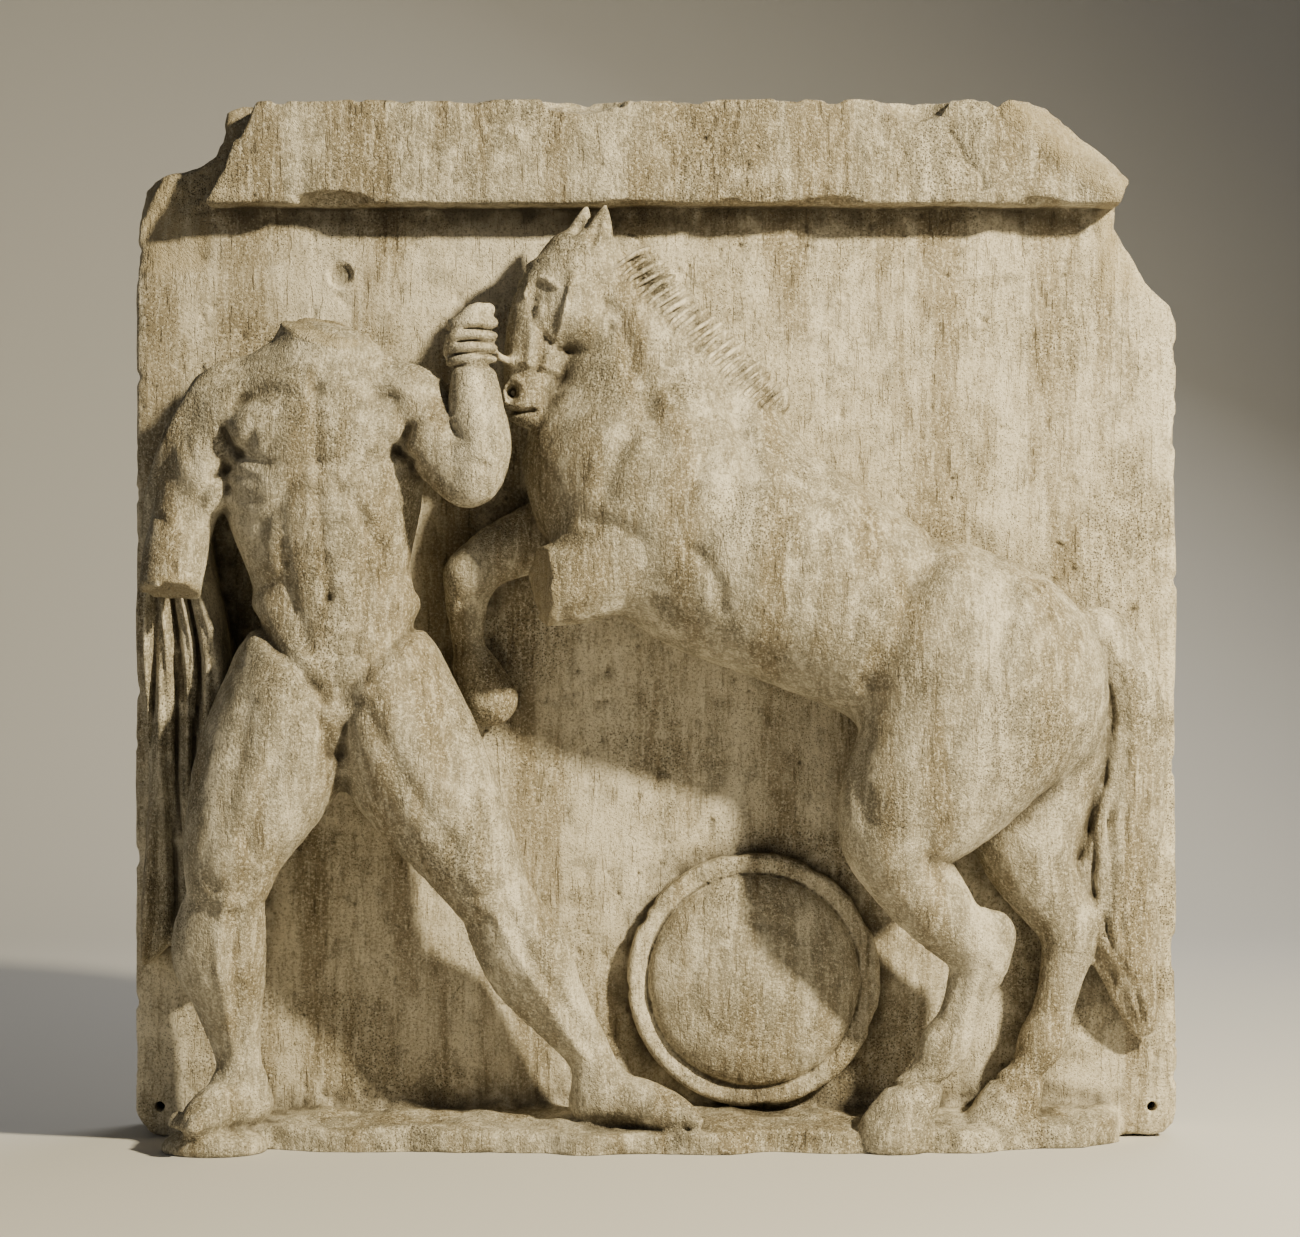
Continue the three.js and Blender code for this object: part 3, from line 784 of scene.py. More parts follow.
@dataclass
class Horse:
    """The rearing horse, with its near foreleg broken off above the knee."""

    locks: int = 9
    lock_rise: float = 17
    comb_rise: float = 7
    tufts: int = 23
    strands: int = 24

    def carve(self, block: Block) -> None:
        """Cut the far legs, the trunk, the head and the near legs, then the mane and the tail.

        Args:
            block: The stone that is carved.
        """
        block.join(self._far_legs(block), 8)
        block.join(self._tail(block), 6)
        block.join(self._trunk(block), 8)
        block.join(self._mane(block), 4)

    def _far_legs(self, block: Block) -> Form:
        """Carve the two legs on the far side.

        Args:
            block: The stone that is carved.

        Returns:
            The form.
        """
        form = block.form((-300, -150, -10), (600, 30, 880))
        form.limb([(490, 510, 48, 86, 0.8), (470, 410, 50, 74, 0.85), (482, 345, 50, 53),
                   (524, 274, 46, 39), (516, 212, 44, 28), (503, 162, 42, 26), (492, 130, 42, 31),
                   (478, 104, 42, 23), (468, 82, 44, 24)])
        form.limb([(464, 74, 46, 28), (452, 54, 50, 37), (436, 22, 56, 46)], 2)
        form.mass((536, 284, 46), (24, 30, 26), 12)
        form.limb([(-60, 800, 60, 62), (-140, 772, 48, 46), (-212, 742, 42, 36), (-238, 706, 40, 31),
                   (-240, 646, 38, 21), (-234, 612, 38, 23)])
        form.limb([(-232, 606, 38, 28), (-224, 588, 38, 32), (-212, 564, 38, 36)], 2)
        form.mass((-238, 722, 50), (30, 28, 28), 0)
        form.strokes(
            (6, 3, (498, 360), (520, 300), (522, 262)),
            (5, 2.5, (528, 240), (518, 190), (502, 130)),
            (3.5, 4, (430, 80), (462, 88), (494, 84)),
            (4, 2.4, (-246, 690), (-250, 650), (-243, 618)),
            (6, 2.4, (-160, 790), (-205, 768), (-226, 742)),
        )
        form.finish(0.7, 71)
        return form

    def _trunk(self, block: Block) -> Form:
        """Carve the trunk, neck, head and near legs.

        Args:
            block: The stone that is carved.

        Returns:
            The form.
        """
        form = block.form((-300, -232, -10), (600, 40, 1230))
        form.limb([(464, 548, 76, 104, 0.9), (412, 592, 92, 146, 0.85), (300, 656, 92, 128, 0.88),
                   (182, 716, 95, 138, 0.86), (72, 772, 98, 150, 0.84), (-14, 826, 98, 138, 0.85),
                   (-68, 864, 92, 100, 0.85)])
        form.limb([(48, 848, 86, 132, 0.6), (-5, 935, 88, 112, 0.6), (-48, 1020, 88, 79, 0.66),
                   (-82, 1086, 88, 58, 0.75), (-98, 1106, 88, 50, 0.85)], 36)
        form.masses(
            ((22, 838, 138), (70, 112, 64), -24, 26),
            ((-52, 812, 128), (52, 62, 58), 10, 26),
            ((128, 742, 150), (96, 84, 52), 28, 40),
        )
        form.limb([(446, 612, 96, 96, 0.85), (400, 548, 118, 124, 0.8), (352, 480, 134, 110, 0.78),
                   (304, 412, 140, 78, 0.85), (308, 362, 136, 58), (352, 302, 126, 48),
                   (402, 252, 116, 41), (394, 205, 110, 30), (378, 162, 108, 26), (362, 130, 106, 32),
                   (346, 104, 106, 24), (334, 82, 106, 25)], 20)
        form.limb([(330, 74, 108, 29), (316, 54, 114, 37), (298, 22, 120, 46)], 2)
        form.masses(
            ((420, 264, 116), (30, 36, 27), 20, 10),
            ((330, 440, 150), (46, 62, 46), -20, 24),
        )
        near_fore = Break((-142, 704, 160), (-1, -0.1, 0.35), 64)
        block.breaks.append(near_fore)
        form.limb([(-6, 806, 130, 88, 0.6), (-48, 748, 148, 70, 0.8), (-104, 712, 158, 54),
                   (-190, 700, 160, 45)], 26, near_fore)
        self._muscles(form)
        self._head(form)
        form.finish(0.9, 72, 1.35)
        return form

    def _muscles(self, form: Form) -> None:
        """Draw the furrows and swellings of the near side.

        Args:
            form: The form that they belong to.
        """
        form.strokes(
            (15, 7, (96, 925), (112, 868), (92, 800), (48, 752)),
            (13, 6, (-2, 930), (-40, 880), (-62, 822)),
            (11, 3.5, (66, 880), (48, 836), (16, 792)),
            (9, 4, (48, 752), (76, 706), (82, 676)),
            (9, 4, (-20, 762), (-52, 780), (-84, 784)),
            (8, 2.5, (-40, 690), (-80, 680), (-118, 672)),
        )
        for i in range(7):
            x = 142 + 26 * i
            z = 728 - 13 * i
            form.stroke([(x + 22, z + 74), (x + 4, z + 18), (x - 4, z - 44)], 7, 1.9)
        form.strokes(
            (18, 8, (352, 760), (322, 700), (292, 640), (262, 588)),
            (14, 4.5, (438, 706), (424, 640), (384, 560), (346, 480)),
            (13, 4.5, (506, 640), (484, 570), (440, 490), (404, 420)),
            (10, 3, (262, 520), (250, 470), (262, 416)),
            (9, 3.6, (330, 412), (338, 364), (372, 306)),
            (7, 4.5, (392, 348), (404, 306), (420, 276)),
            (5, 3.6, (412, 232), (396, 176), (374, 122)),
            (5, 2, (386, 222), (372, 170), (352, 126)),
            (3.5, 4, (294, 80), (328, 88), (362, 84)),
            (15, 5.5, (-58, 1050), (-28, 980), (-2, 905), (4, 872)),
            (12, 4, (-20, 1092), (34, 1022), (88, 958)),
            (6, 3, (-66, 1066), (-46, 1046), (-38, 1016)),
            (6, 2.4, (-56, 1030), (-34, 1008), (-30, 976)),
        )
        form.dints(
            (318, 704, 30, 6),
            (366, 740, 24, -5),
            (470, 690, 26, -3),
            (292, 452, 28, -5),
            (396, 252, 12, -3),
        )

    def _head(self, form: Form) -> None:
        """Carve head, jaw, ears, eye, nostril and mouth, and the plain straps of the bridle.

        Args:
            form: The form that they belong to.
        """
        form.limb([(-94, 1104, 96, 50, 0.85), (-122, 1066, 104, 54, 0.78), (-146, 1012, 108, 43, 0.82),
                   (-158, 962, 108, 33, 0.92), (-161, 936, 106, 31, 0.95)], 8)
        form.masses(
            ((-100, 1052, 112), (47, 50, 42), 24, 4),
            ((-150, 914, 104), (19, 13, 20), 10, 6),
            ((-168, 942, 112), (21, 20, 24), 0, 10),
        )
        for x, d in ((-72, 96), (-96, 78)):
            form.limb([(x, 1118, d + 4, 20), (x - 1, 1138, d + 8, 19), (x + 3, 1160, d + 6, 13),
                       (x + 8, 1182, d, 4)], 5)
            form.stroke([(x - 5, 1132), (x - 4, 1146), (x + 1, 1162)], 4, 4)
        form.dint(-144, 1074, 19, 7)
        form.mass((-143, 1073, 134), (13, 10, 12), 12, 1)
        form.strokes(
            (4, -5.5, (-164, 1070), (-157, 1086), (-142, 1091), (-124, 1078)),
            (5, -3.5, (-146, 1056), (-154, 1016), (-158, 980)),
            (5, 2.5, (-133, 1040), (-143, 1004), (-148, 974)),
        )
        # The round edge of the jaw.
        turns = [math.radians(degrees) for degrees in range(165, 336, 17)]
        form.stroke([(-102 + 51 * math.cos(turn), 1050 + 51 * math.sin(turn)) for turn in turns], 6, 6)
        form.strokes(
            (3.4, -4, (-188, 936), (-190, 952), (-178, 964), (-167, 958)),
            (2.8, 8, (-188, 925), (-170, 923), (-152, 926)),
            (4, -4.5, (-190, 990), (-158, 983), (-122, 974)),
            (3.4, -4.5, (-138, 979), (-118, 1030), (-104, 1094)),
            (3.4, -3, (-176, 1104), (-140, 1116), (-104, 1124)),
        )
        form.dint(-178, 948, 6, 13, 1.3)

    def _mane(self, block: Block) -> Form:
        """Carve a standing comb of tufts along the crest of the neck, and a short forelock.

        Args:
            block: The stone that is carved.

        Returns:
            The form.
        """
        form = block.form((-220, -220, 850), (230, 20, 1230))
        crest = spline(np.array([(142, 938), (88, 989), (22, 1055), (-34, 1122)], float), 40)
        comb = []
        for at, ahead in zip(crest[:-1:14], crest[1::14]):
            way = (ahead - at) / np.linalg.norm(ahead - at)
            comb.append((at[0] + way[1] * self.comb_rise, at[1] - way[0] * self.comb_rise, 88, 24, 0.95))
        form.limb(comb, 8)
        step = (len(crest) - 2) / (self.tufts - 1)
        for i in range(self.tufts):
            k = int(i * step)
            at = crest[k]
            way = (crest[k + 1] - at) / np.linalg.norm(crest[k + 1] - at)
            out = np.array([way[1], -way[0]]) * self.lock_rise
            beat = 2 * math.pi * i * self.locks / self.tufts
            lift = 1.45 + 0.12 * math.cos(beat) + 0.05 * math.sin(5.3 * i)
            curl = 4 * math.sin(1.7 * i)
            middle = at + way * step * 0.5
            furrow = ((-2.3, 0), (-0.9, 2.5), (0.4, 0), (1.9, -2))
            form.stroke([middle + share * out + way * bow for share, bow in furrow], 2.7, 8)
            sunk = 9 * i / self.tufts
            rows = ((-2.1, 135 - sunk, 4), (-1.3, 133 - sunk, 5.6), (-0.3, 125 - 0.6 * sunk, 6.4),
                    (0.6, 113, 6.4), (lift, 92, 6))
            lean = out - way * curl
            form.limb([(*(at + share * lean), depth, radius) for share, depth, radius in rows], 1.2)
        for i in range(3):
            x, z = -88 - 10 * i, 1146 - 8 * i
            form.limb([(x + 10, z, 108, 8), (x - 4, z - 5, 118 + 2 * i, 8),
                       (x - 12, z - 16, 124 + i, 7), (x - 16, z - 26, 124 + i, 5)], 4)
        form.finish(0.3, 73)
        return form

    def _tail(self, block: Block) -> Form:
        """Carve the tail in many fine waving strands over a flat core.

        Args:
            block: The stone that is carved.

        Returns:
            The form.
        """
        form = block.form((460, -160, 90), (690, 30, 740))
        form.limb([(500, 626, 50, 34, 0.8), (568, 626, 40, 44, 0.8), (602, 520, 34, 50, 0.7),
                   (586, 380, 26, 50, 0.7), (604, 220, 16, 30, 0.7)], 8)
        for i in range(self.strands):
            share = i / (self.strands - 1) - 0.5
            layer = 6 * math.sin(2.4 * i)
            wave = 7 * math.sin(1.3 * i + 0.6)
            lift = 24 * (1 - 3.4 * share * share) + layer
            hang = 16 * math.cos(2.2 * i)
            form.limb([(500, 630 + 30 * share, 74, 6.5),
                       (540, 650 + 44 * share, 60 + lift, 7.5),
                       (574 + 30 * share, 636 + 50 * share, 52 + lift, 8),
                       (600 + 62 * share, 574 + 30 * share, 46 + lift, 7.5),
                       (600 + 84 * share + wave, 490, 42 + lift, 8),
                       (590 + 92 * share - 0.8 * wave, 410, 40 + lift, 7.5),
                       (584 + 94 * share + wave, 340, 36 + lift, 8),
                       (588 + 84 * share - wave, 270, 32 + lift, 7.5),
                       (604 + 60 * share + 0.6 * wave, 204 + hang, 26 + lift, 6.5),
                       (622 + 34 * share, 150 + hang, 24, 3.5)], 2.5)
        form.finish(0.3, 74)
        return form


@dataclass
class Youth:
    """The lunging youth: head and one forearm lost, the other fist on the bridle."""

    middle: float = -420

    def carve(self, block: Block) -> None:
        """Cut the trunk, the limbs and their anatomy.

        Args:
            block: The stone that is carved.
        """
        form = block.form((-684, -232, -10), (120, 40, 1080))
        form.limb([(-394, 570, 104, 110, 0.85), (-398, 632, 108, 102, 0.8), (-404, 698, 110, 94, 0.84),
                   (-412, 768, 114, 108, 0.8), (-418, 840, 116, 127, 0.74), (-420, 905, 116, 118, 0.7),
                   (-419, 945, 112, 86, 0.7)])
        form.limb([(-534, 925, 116, 52), (-478, 946, 116, 47), (-419, 958, 114, 50), (-360, 948, 118, 47),
                   (-308, 925, 128, 52)], 22)
        neck = Break((-418, 1026, 120), (0.25, 1, 0.3), 66)
        forearm = Break((-603, 700, 158), (-0.1, -1, 0.3), 50)
        block.breaks += [neck, forearm]
        form.limb([(-419, 950, 112, 62), (-418, 990, 118, 52), (-416, 1070, 122, 52)], 26, neck)
        for side in Side:
            s = side.value
            form.mass((-420 + 58 * s, 897, 158), (62, 40, 42), -8 * s, 10)
            form.limb([(-420 + 10 * s, 972, 128, 22), (-420 + 64 * s, 978, 130, 20),
                       (-420 + 104 * s, 954, 130, 20)], 18)
            form.mass((-400 + 70 * s, 678, 122), (34, 44, 48), 16 * s, 14)
        self._arms(form, forearm)
        self._legs(form)
        self._trunk_relief(form)
        self._limb_relief(form)
        form.finish(0.8, 81, 1.4)
        block.join(form, 8)

    def _arms(self, form: Form, forearm: Break) -> None:
        """Carve both arms, with the fist on the bridle.

        Args:
            form: The form that they belong to.
            forearm: Where the forearm is lost.
        """
        form.limb([(-532, 927, 116, 54), (-568, 862, 118, 48), (-590, 792, 124, 40), (-600, 735, 146, 40),
                   (-606, 650, 172, 34)], 14, forearm)
        form.masses(
            ((-534, 922, 124), (53, 57, 47), -18, 12),
            ((-566, 850, 142), (30, 52, 30), -20, 12),
        )
        form.limb([(-310, 925, 128, 54), (-268, 882, 158, 47), (-232, 838, 182, 36), (-220, 872, 182, 40),
                   (-224, 938, 168, 33), (-227, 984, 156, 24)], 10)
        form.masses(
            ((-310, 924, 134), (53, 57, 47), 18, 12),
            ((-274, 882, 186), (34, 34, 22), 40, 10),
            ((-210, 886, 186), (29, 46, 30), 4, 10),
            ((-228, 1008, 150), (30, 34, 27), 0, 8),
        )
        for i in range(4):
            z = 1030 - 15 * i
            form.limb([(-252, z - 3, 150, 8.5), (-248, z, 172 - 2 * i, 8.8),
                       (-224, z + 2, 180 - 2 * i, 8.8), (-204, z + 1, 162, 8)], 1)
            form.stroke([(-256, z - 9), (-230, z - 6), (-198, z - 7)], 2.8, 2.6)
        # The thumb, and the knot of rein that comes out of the fist.
        form.limb([(-252, 996, 158, 12), (-246, 1020, 174, 11), (-226, 1044, 174, 10),
                   (-208, 1048, 164, 8)], 3)
        form.limb([(-204, 1000, 150, 5), (-196, 992, 148, 5.5), (-188, 988, 140, 5),
                   (-176, 984, 132, 5)], 2)

    def _legs(self, form: Form) -> None:
        """Carve both legs and feet.

        Args:
            form: The form that they belong to.
        """
        form.limb([(-444, 580, 114, 92), (-480, 488, 140, 92), (-518, 396, 160, 67), (-530, 345, 160, 54),
                   (-534, 322, 152, 49), (-544, 256, 134, 58), (-536, 196, 116, 45), (-526, 125, 100, 29),
                   (-522, 80, 98, 31)], 18)
        form.limb([(-350, 580, 114, 92), (-298, 480, 132, 89), (-236, 378, 138, 63), (-212, 334, 136, 52),
                   (-198, 310, 130, 48), (-166, 246, 114, 56), (-134, 190, 100, 44), (-88, 124, 88, 29),
                   (-70, 80, 84, 31)], 18)
        form.masses(
            ((-524, 368, 198), (24, 31, 15), 4, 22),
            ((-222, 360, 176), (24, 31, 15), -24, 22),
            ((-462, 540, 168), (52, 78, 52), 16, 34),
            ((-325, 540, 166), (52, 78, 50), -22, 34),
            ((-496, 400, 172), (28, 42, 36), 10, 18),
            ((-250, 408, 158), (28, 42, 36), -24, 18),
            ((-566, 264, 130), (32, 58, 44), 4, 16),
            ((-150, 250, 116), (32, 56, 42), -26, 16),
        )
        for x, z, d in ((-545, 84, 104), (-500, 88, 104), (-92, 84, 92), (-52, 90, 92)):
            form.mass((x, z, d), (11, 13, 13), 0, 10)
        for heel_x, heel_d, across, out in ((-520, 96, -62, 80), (-66, 82, 122, 40)):
            form.limb([(heel_x - 0.12 * across, 56, heel_d - 0.12 * out, 30, 1),
                       (heel_x + 0.3 * across, 60, heel_d + 0.3 * out, 30, 1),
                       (heel_x + 0.62 * across, 50, heel_d + 0.62 * out, 26, 1.2),
                       (heel_x + 0.8 * across, 42, heel_d + 0.8 * out, 20, 1.5)], 16)
            way = np.array([across, out]) / math.hypot(across, out)
            beside = np.array([way[1], -way[0]]) * (1 if across < 0 else -1)
            for i in range(5):
                spread = (1.6 - i) * 12.5
                long = 25 - 3.6 * i
                root = np.array([heel_x, heel_d]) + 0.8 * np.array([across, out]) + beside * spread
                tip = root + way * long
                size = 11.5 if i == 0 else 8.4 - 0.5 * i
                knuckle = root + 0.6 * way * long
                form.limb([(root[0], 46, root[1], size), (knuckle[0], 45, knuckle[1], size),
                           (tip[0], 39, tip[1], size * 0.9)], 1.5)
        # A low rock carries the front foot past the end of the ledge.
        form.masses(
            ((-552, 6, 118), (66, 24, 62), 0, 14),
            ((-396, 533, 176), (17, 21, 17), 0, 8),
            ((-384, 516, 172), (14, 17, 15), 0, 5),
        )

    def _trunk_relief(self, form: Form) -> None:
        """Draw the furrows of breast, ribs, belly and groin.

        Args:
            form: The form that they belong to.
        """
        m = self.middle
        form.strokes(
            (8, 4.5, (m, 946), (m + 1, 900), (m + 2, 862)),
            (6.5, 4, (m + 3, 856), (m + 8, 772), (m + 16, 700)),
        )
        form.dints(
            (-404, 690, 6, 7, 1.2),
            (m, 952, 10, 5),
        )
        for side in Side:
            s = side.value
            form.stroke([(m + 8 * s, 858), (m + 46 * s, 852), (m + 92 * s, 868),
                         (m + 116 * s, 900)], 7.5, 5)
            form.strokes(
                (7, -3.5, (m + 14 * s, 952), (m + 60 * s, 962), (m + 108 * s, 950)),
                (7, 3, (m + 20 * s, 936), (m + 62 * s, 946), (m + 100 * s, 934)),
                (8, 2, (m + 92 * s, 944), (m + 106 * s, 912), (m + 112 * s, 888)),
                (8, 4.2, (m + 12 * s, 846), (m + 36 * s, 822), (m + 62 * s, 782), (m + 76 * s, 752)),
            )
            form.dint(m + 66 * s, 880, 4, -2)
            form.stroke([(m + 8 + 50 * s, 800), (m + 10 + 50 * s, 750), (m + 16 + 46 * s, 690),
                         (m + 20 + 26 * s, 628)], 8, 3.4)
            for row, z in enumerate((818, 778, 738)):
                form.stroke([(m + 9 + 5 * s, z), (m + 9 + 26 * s, z + 3), (m + 9 + 46 * s, z + 4 * s)],
                            5.5, 2.6 - 0.3 * row)
            for rib in range(3):
                z = 846 - 28 * rib
                form.stroke([(m + (116 - 6 * rib) * s, z + 10), (m + (92 - 5 * rib) * s, z - 5),
                             (m + (74 - 3 * rib) * s, z - 8)], 7.5, 2.6)
            form.stroke([(m + 22 + 104 * s, 664), (m + 22 + 76 * s, 634), (m + 22 + 40 * s, 600),
                         (m + 24 + 12 * s, 566)], 9, 7)
            form.strokes(
                (9, 3, (m + 20 + 96 * s, 700), (m + 20 + 66 * s, 716), (m + 18 + 50 * s, 712)),
                (8, 5, (m + 24 + 30 * s, 562), (m + 24 + 14 * s, 534), (m + 24 + 8 * s, 500)),
            )
        form.stroke([(-448, 590), (-398, 580), (-348, 590)], 9, 2.5)

    def _limb_relief(self, form: Form) -> None:
        """Draw the furrows of the arms, thighs, knees and shins.

        Args:
            form: The form that they belong to.
        """
        form.strokes(
            (7, 4, (-498, 890), (-520, 862), (-546, 842)),
            (7, 3, (-586, 892), (-574, 860), (-568, 846)),
            (6.5, 3.5, (-548, 842), (-566, 812), (-588, 786)),
            (6, 3, (-618, 792), (-600, 778), (-576, 782)),
            (7, 4, (-342, 892), (-318, 872), (-296, 862)),
            (7, 3, (-272, 912), (-252, 900), (-238, 884)),
            (6, 4, (-250, 842), (-230, 856), (-208, 852)),
            (6, 2.8, (-204, 868), (-208, 910), (-214, 962)),
            (5, 2.5, (-240, 978), (-218, 982), (-194, 978)),
            (10, 3.6, (-438, 560), (-462, 500), (-486, 430), (-500, 392)),
            (11, 3, (-500, 560), (-512, 490), (-526, 420)),
            (10, 3.6, (-352, 548), (-318, 486), (-276, 420), (-246, 384)),
            (11, 3, (-300, 566), (-262, 500), (-226, 430)),
        )
        for x, z, lean in ((-524, 364, 0), (-222, 357, 6)):
            over = ((-30, 12), (-20, 34), (0, 40), (20, 34), (30, 12))
            under = ((-26, -14), (-14, -32), (14, -32), (27, -12))
            form.stroke([(x + across, z + up) for across, up in over], 8, 1.8)
            form.stroke([(x + across + lean, z + up) for across, up in under], 7, 2.8)
            form.dint(x + lean * 2, z - 44, 12, -3)
        form.strokes(
            (6, -3, (-532, 312), (-540, 250), (-534, 180), (-526, 120)),
            (7, 3.4, (-518, 300), (-522, 250), (-520, 190), (-516, 120)),
            (6, -3, (-200, 300), (-172, 246), (-132, 180), (-92, 118)),
            (7, 3.4, (-184, 302), (-156, 250), (-118, 188), (-80, 122)),
        )


@dataclass
class Cloak:
    """The cloak that hangs in upright folds from the broken arm."""

    folds: float = 7.5
    fold_depth: float = 34

    def carve(self, block: Block) -> None:
        """Cut the hanging cloth and the roll of cloth over the arm.

        Args:
            block: The stone that is carved.
        """
        form = block.form((-690, -232, 170), (-470, 30, 1010))
        x = form.xs[:, None]
        z = form.zs[None, :]
        # How far down the cloth each place is, and how far across it.
        fall = np.clip((820 - z) / 600, 0, 1)
        left = -640 - 10 * fall + 3 * np.sin(z / 60)
        right = -572 + 62 * fall ** 0.8 + 5 * np.sin(z / 47 + 1)
        share = (x - left) / (right - left)
        bend = share + 0.06 * np.sin(z / 70 + 3 * share) + 0.07 * np.sin(6 * share + z / 160)
        phase = bend * self.folds * (0.42 + 0.1 * fall) + 0.3 * np.sin(z / 120)
        ridge = np.abs(np.sin(np.pi * phase)) ** 0.7
        small = 0.22 * np.abs(np.sin(2.3 * np.pi * phase + z / 60))
        tall = 0.7 + 0.3 * np.cos(2.2 * phase + 1)
        front = 84 - 12 * fall + self.fold_depth * (ridge * tall + small - 0.35)
        hem = 236 + 30 * np.abs(((bend * 2.4 + 0.3) % 1) * 2 - 1) - 14 * ridge
        sides = np.maximum(left - x, x - right)
        flat = soft_max(sides, np.maximum(hem - z, z - 838), 10)
        away = (-form.ys[None, :, None] - front[:, None, :]) * 0.62
        form.values = soft_max(away, flat[:, None, :], 12).astype(np.float32)
        for i in range(4):
            shift = 15 * i
            form.limb([(-486 - shift * 0.3, 984 - shift, 92 + 4 * i, 10),
                       (-540 - shift * 0.2, 974 - shift * 1.4, 138 + 6 * math.sin(i), 12),
                       (-592 + shift * 0.2, 912 - shift * 1.6, 146 - 3 * i, 12),
                       (-622 + shift * 0.5, 842 - shift, 124, 12),
                       (-636 + shift * 1.3, 770 - 8 * i, 104, 12)], 6)
        form.limb([(-596, 836, 70, 42, 0.9), (-604, 760, 74, 36, 0.9)], 12)
        form.finish(0.6, 91)
        block.join(form, 6)


@dataclass
class Shield:
    """The round shield that leans on the slab behind the legs."""

    x: float = 125
    z: float = 204
    radius: float = 162
    rim: float = 26
    rim_rise: float = 26
    dome_rise: float = 62

    def carve(self, block: Block) -> None:
        """Turn the dish and its rim.

        Args:
            block: The stone that is carved.
        """
        reach = self.radius + 28
        form = block.form((self.x - reach, -110, 10), (self.x + reach, 40, self.z + reach))
        across = form.xs[:, None] - self.x
        up = form.zs[None, :] - self.z
        r = np.hypot(across, up)
        inner = self.radius - self.rim
        crown = np.sqrt(np.clip(1 - (r / inner) ** 2, 0, 1))
        dome = self.rim_rise + (self.dome_rise - self.rim_rise) * crown
        front = np.where(r < inner, dome, self.rim_rise + 3)
        # A groove inside the rim, a swelling along it and two fine rings on the dome.
        rings = ((inner, 4, 4), (self.radius - 8, 5, -2.5), (inner * 0.62, 3, 2.2), (inner * 0.56, 3, 2.2))
        for radius, width, depth in rings:
            front = front - depth * np.exp(-(((r - radius) / width) ** 2))
        front -= 3.2 * np.maximum(Noise(96).sheet(form.xs, form.zs, 40, 3), 0)
        worn = r - self.radius + 5 * np.maximum(Noise(97).sheet(form.xs, form.zs, 34, 3), 0)
        away = -form.ys[None, :, None] - front[:, None, :]
        form.values = soft_max(away, worn[:, None, :], 6).astype(np.float32)
        block.join(form, 4)


def box_blur(values: Array, reach: int) -> Array:
    """Average each value with its neighbours.

    Args:
        values: A volume of values.
        reach: How many steps to look each way along each axis.

    Returns:
        The averages.
    """
    for axis in range(3):
        width = 2 * reach + 1
        pad = [(0, 0)] * 3
        pad[axis] = (reach + 1, reach)
        total = np.cumsum(np.pad(values, pad, mode="edge"), axis=axis, dtype=np.float32)
        ahead = np.take(total, range(width, total.shape[axis]), axis)
        behind = np.take(total, range(0, total.shape[axis] - width), axis)
        values = (ahead - behind) / width
    return values


def sample(volume: Array, points: Array, low: Array, spacing: float) -> Array:
    """Read a volume at loose points.

    Args:
        volume: Values on the grid.
        points: Rows of x, y and z.
        low: The grid's lowest place.
        spacing: The grid's spacing.

    Returns:
        One value for each point.
    """
    at = np.clip((points - low) / spacing, 0, np.array(volume.shape) - 1.001)
    cell = at.astype(int)
    return blend_corners(volume, cell, at - cell)


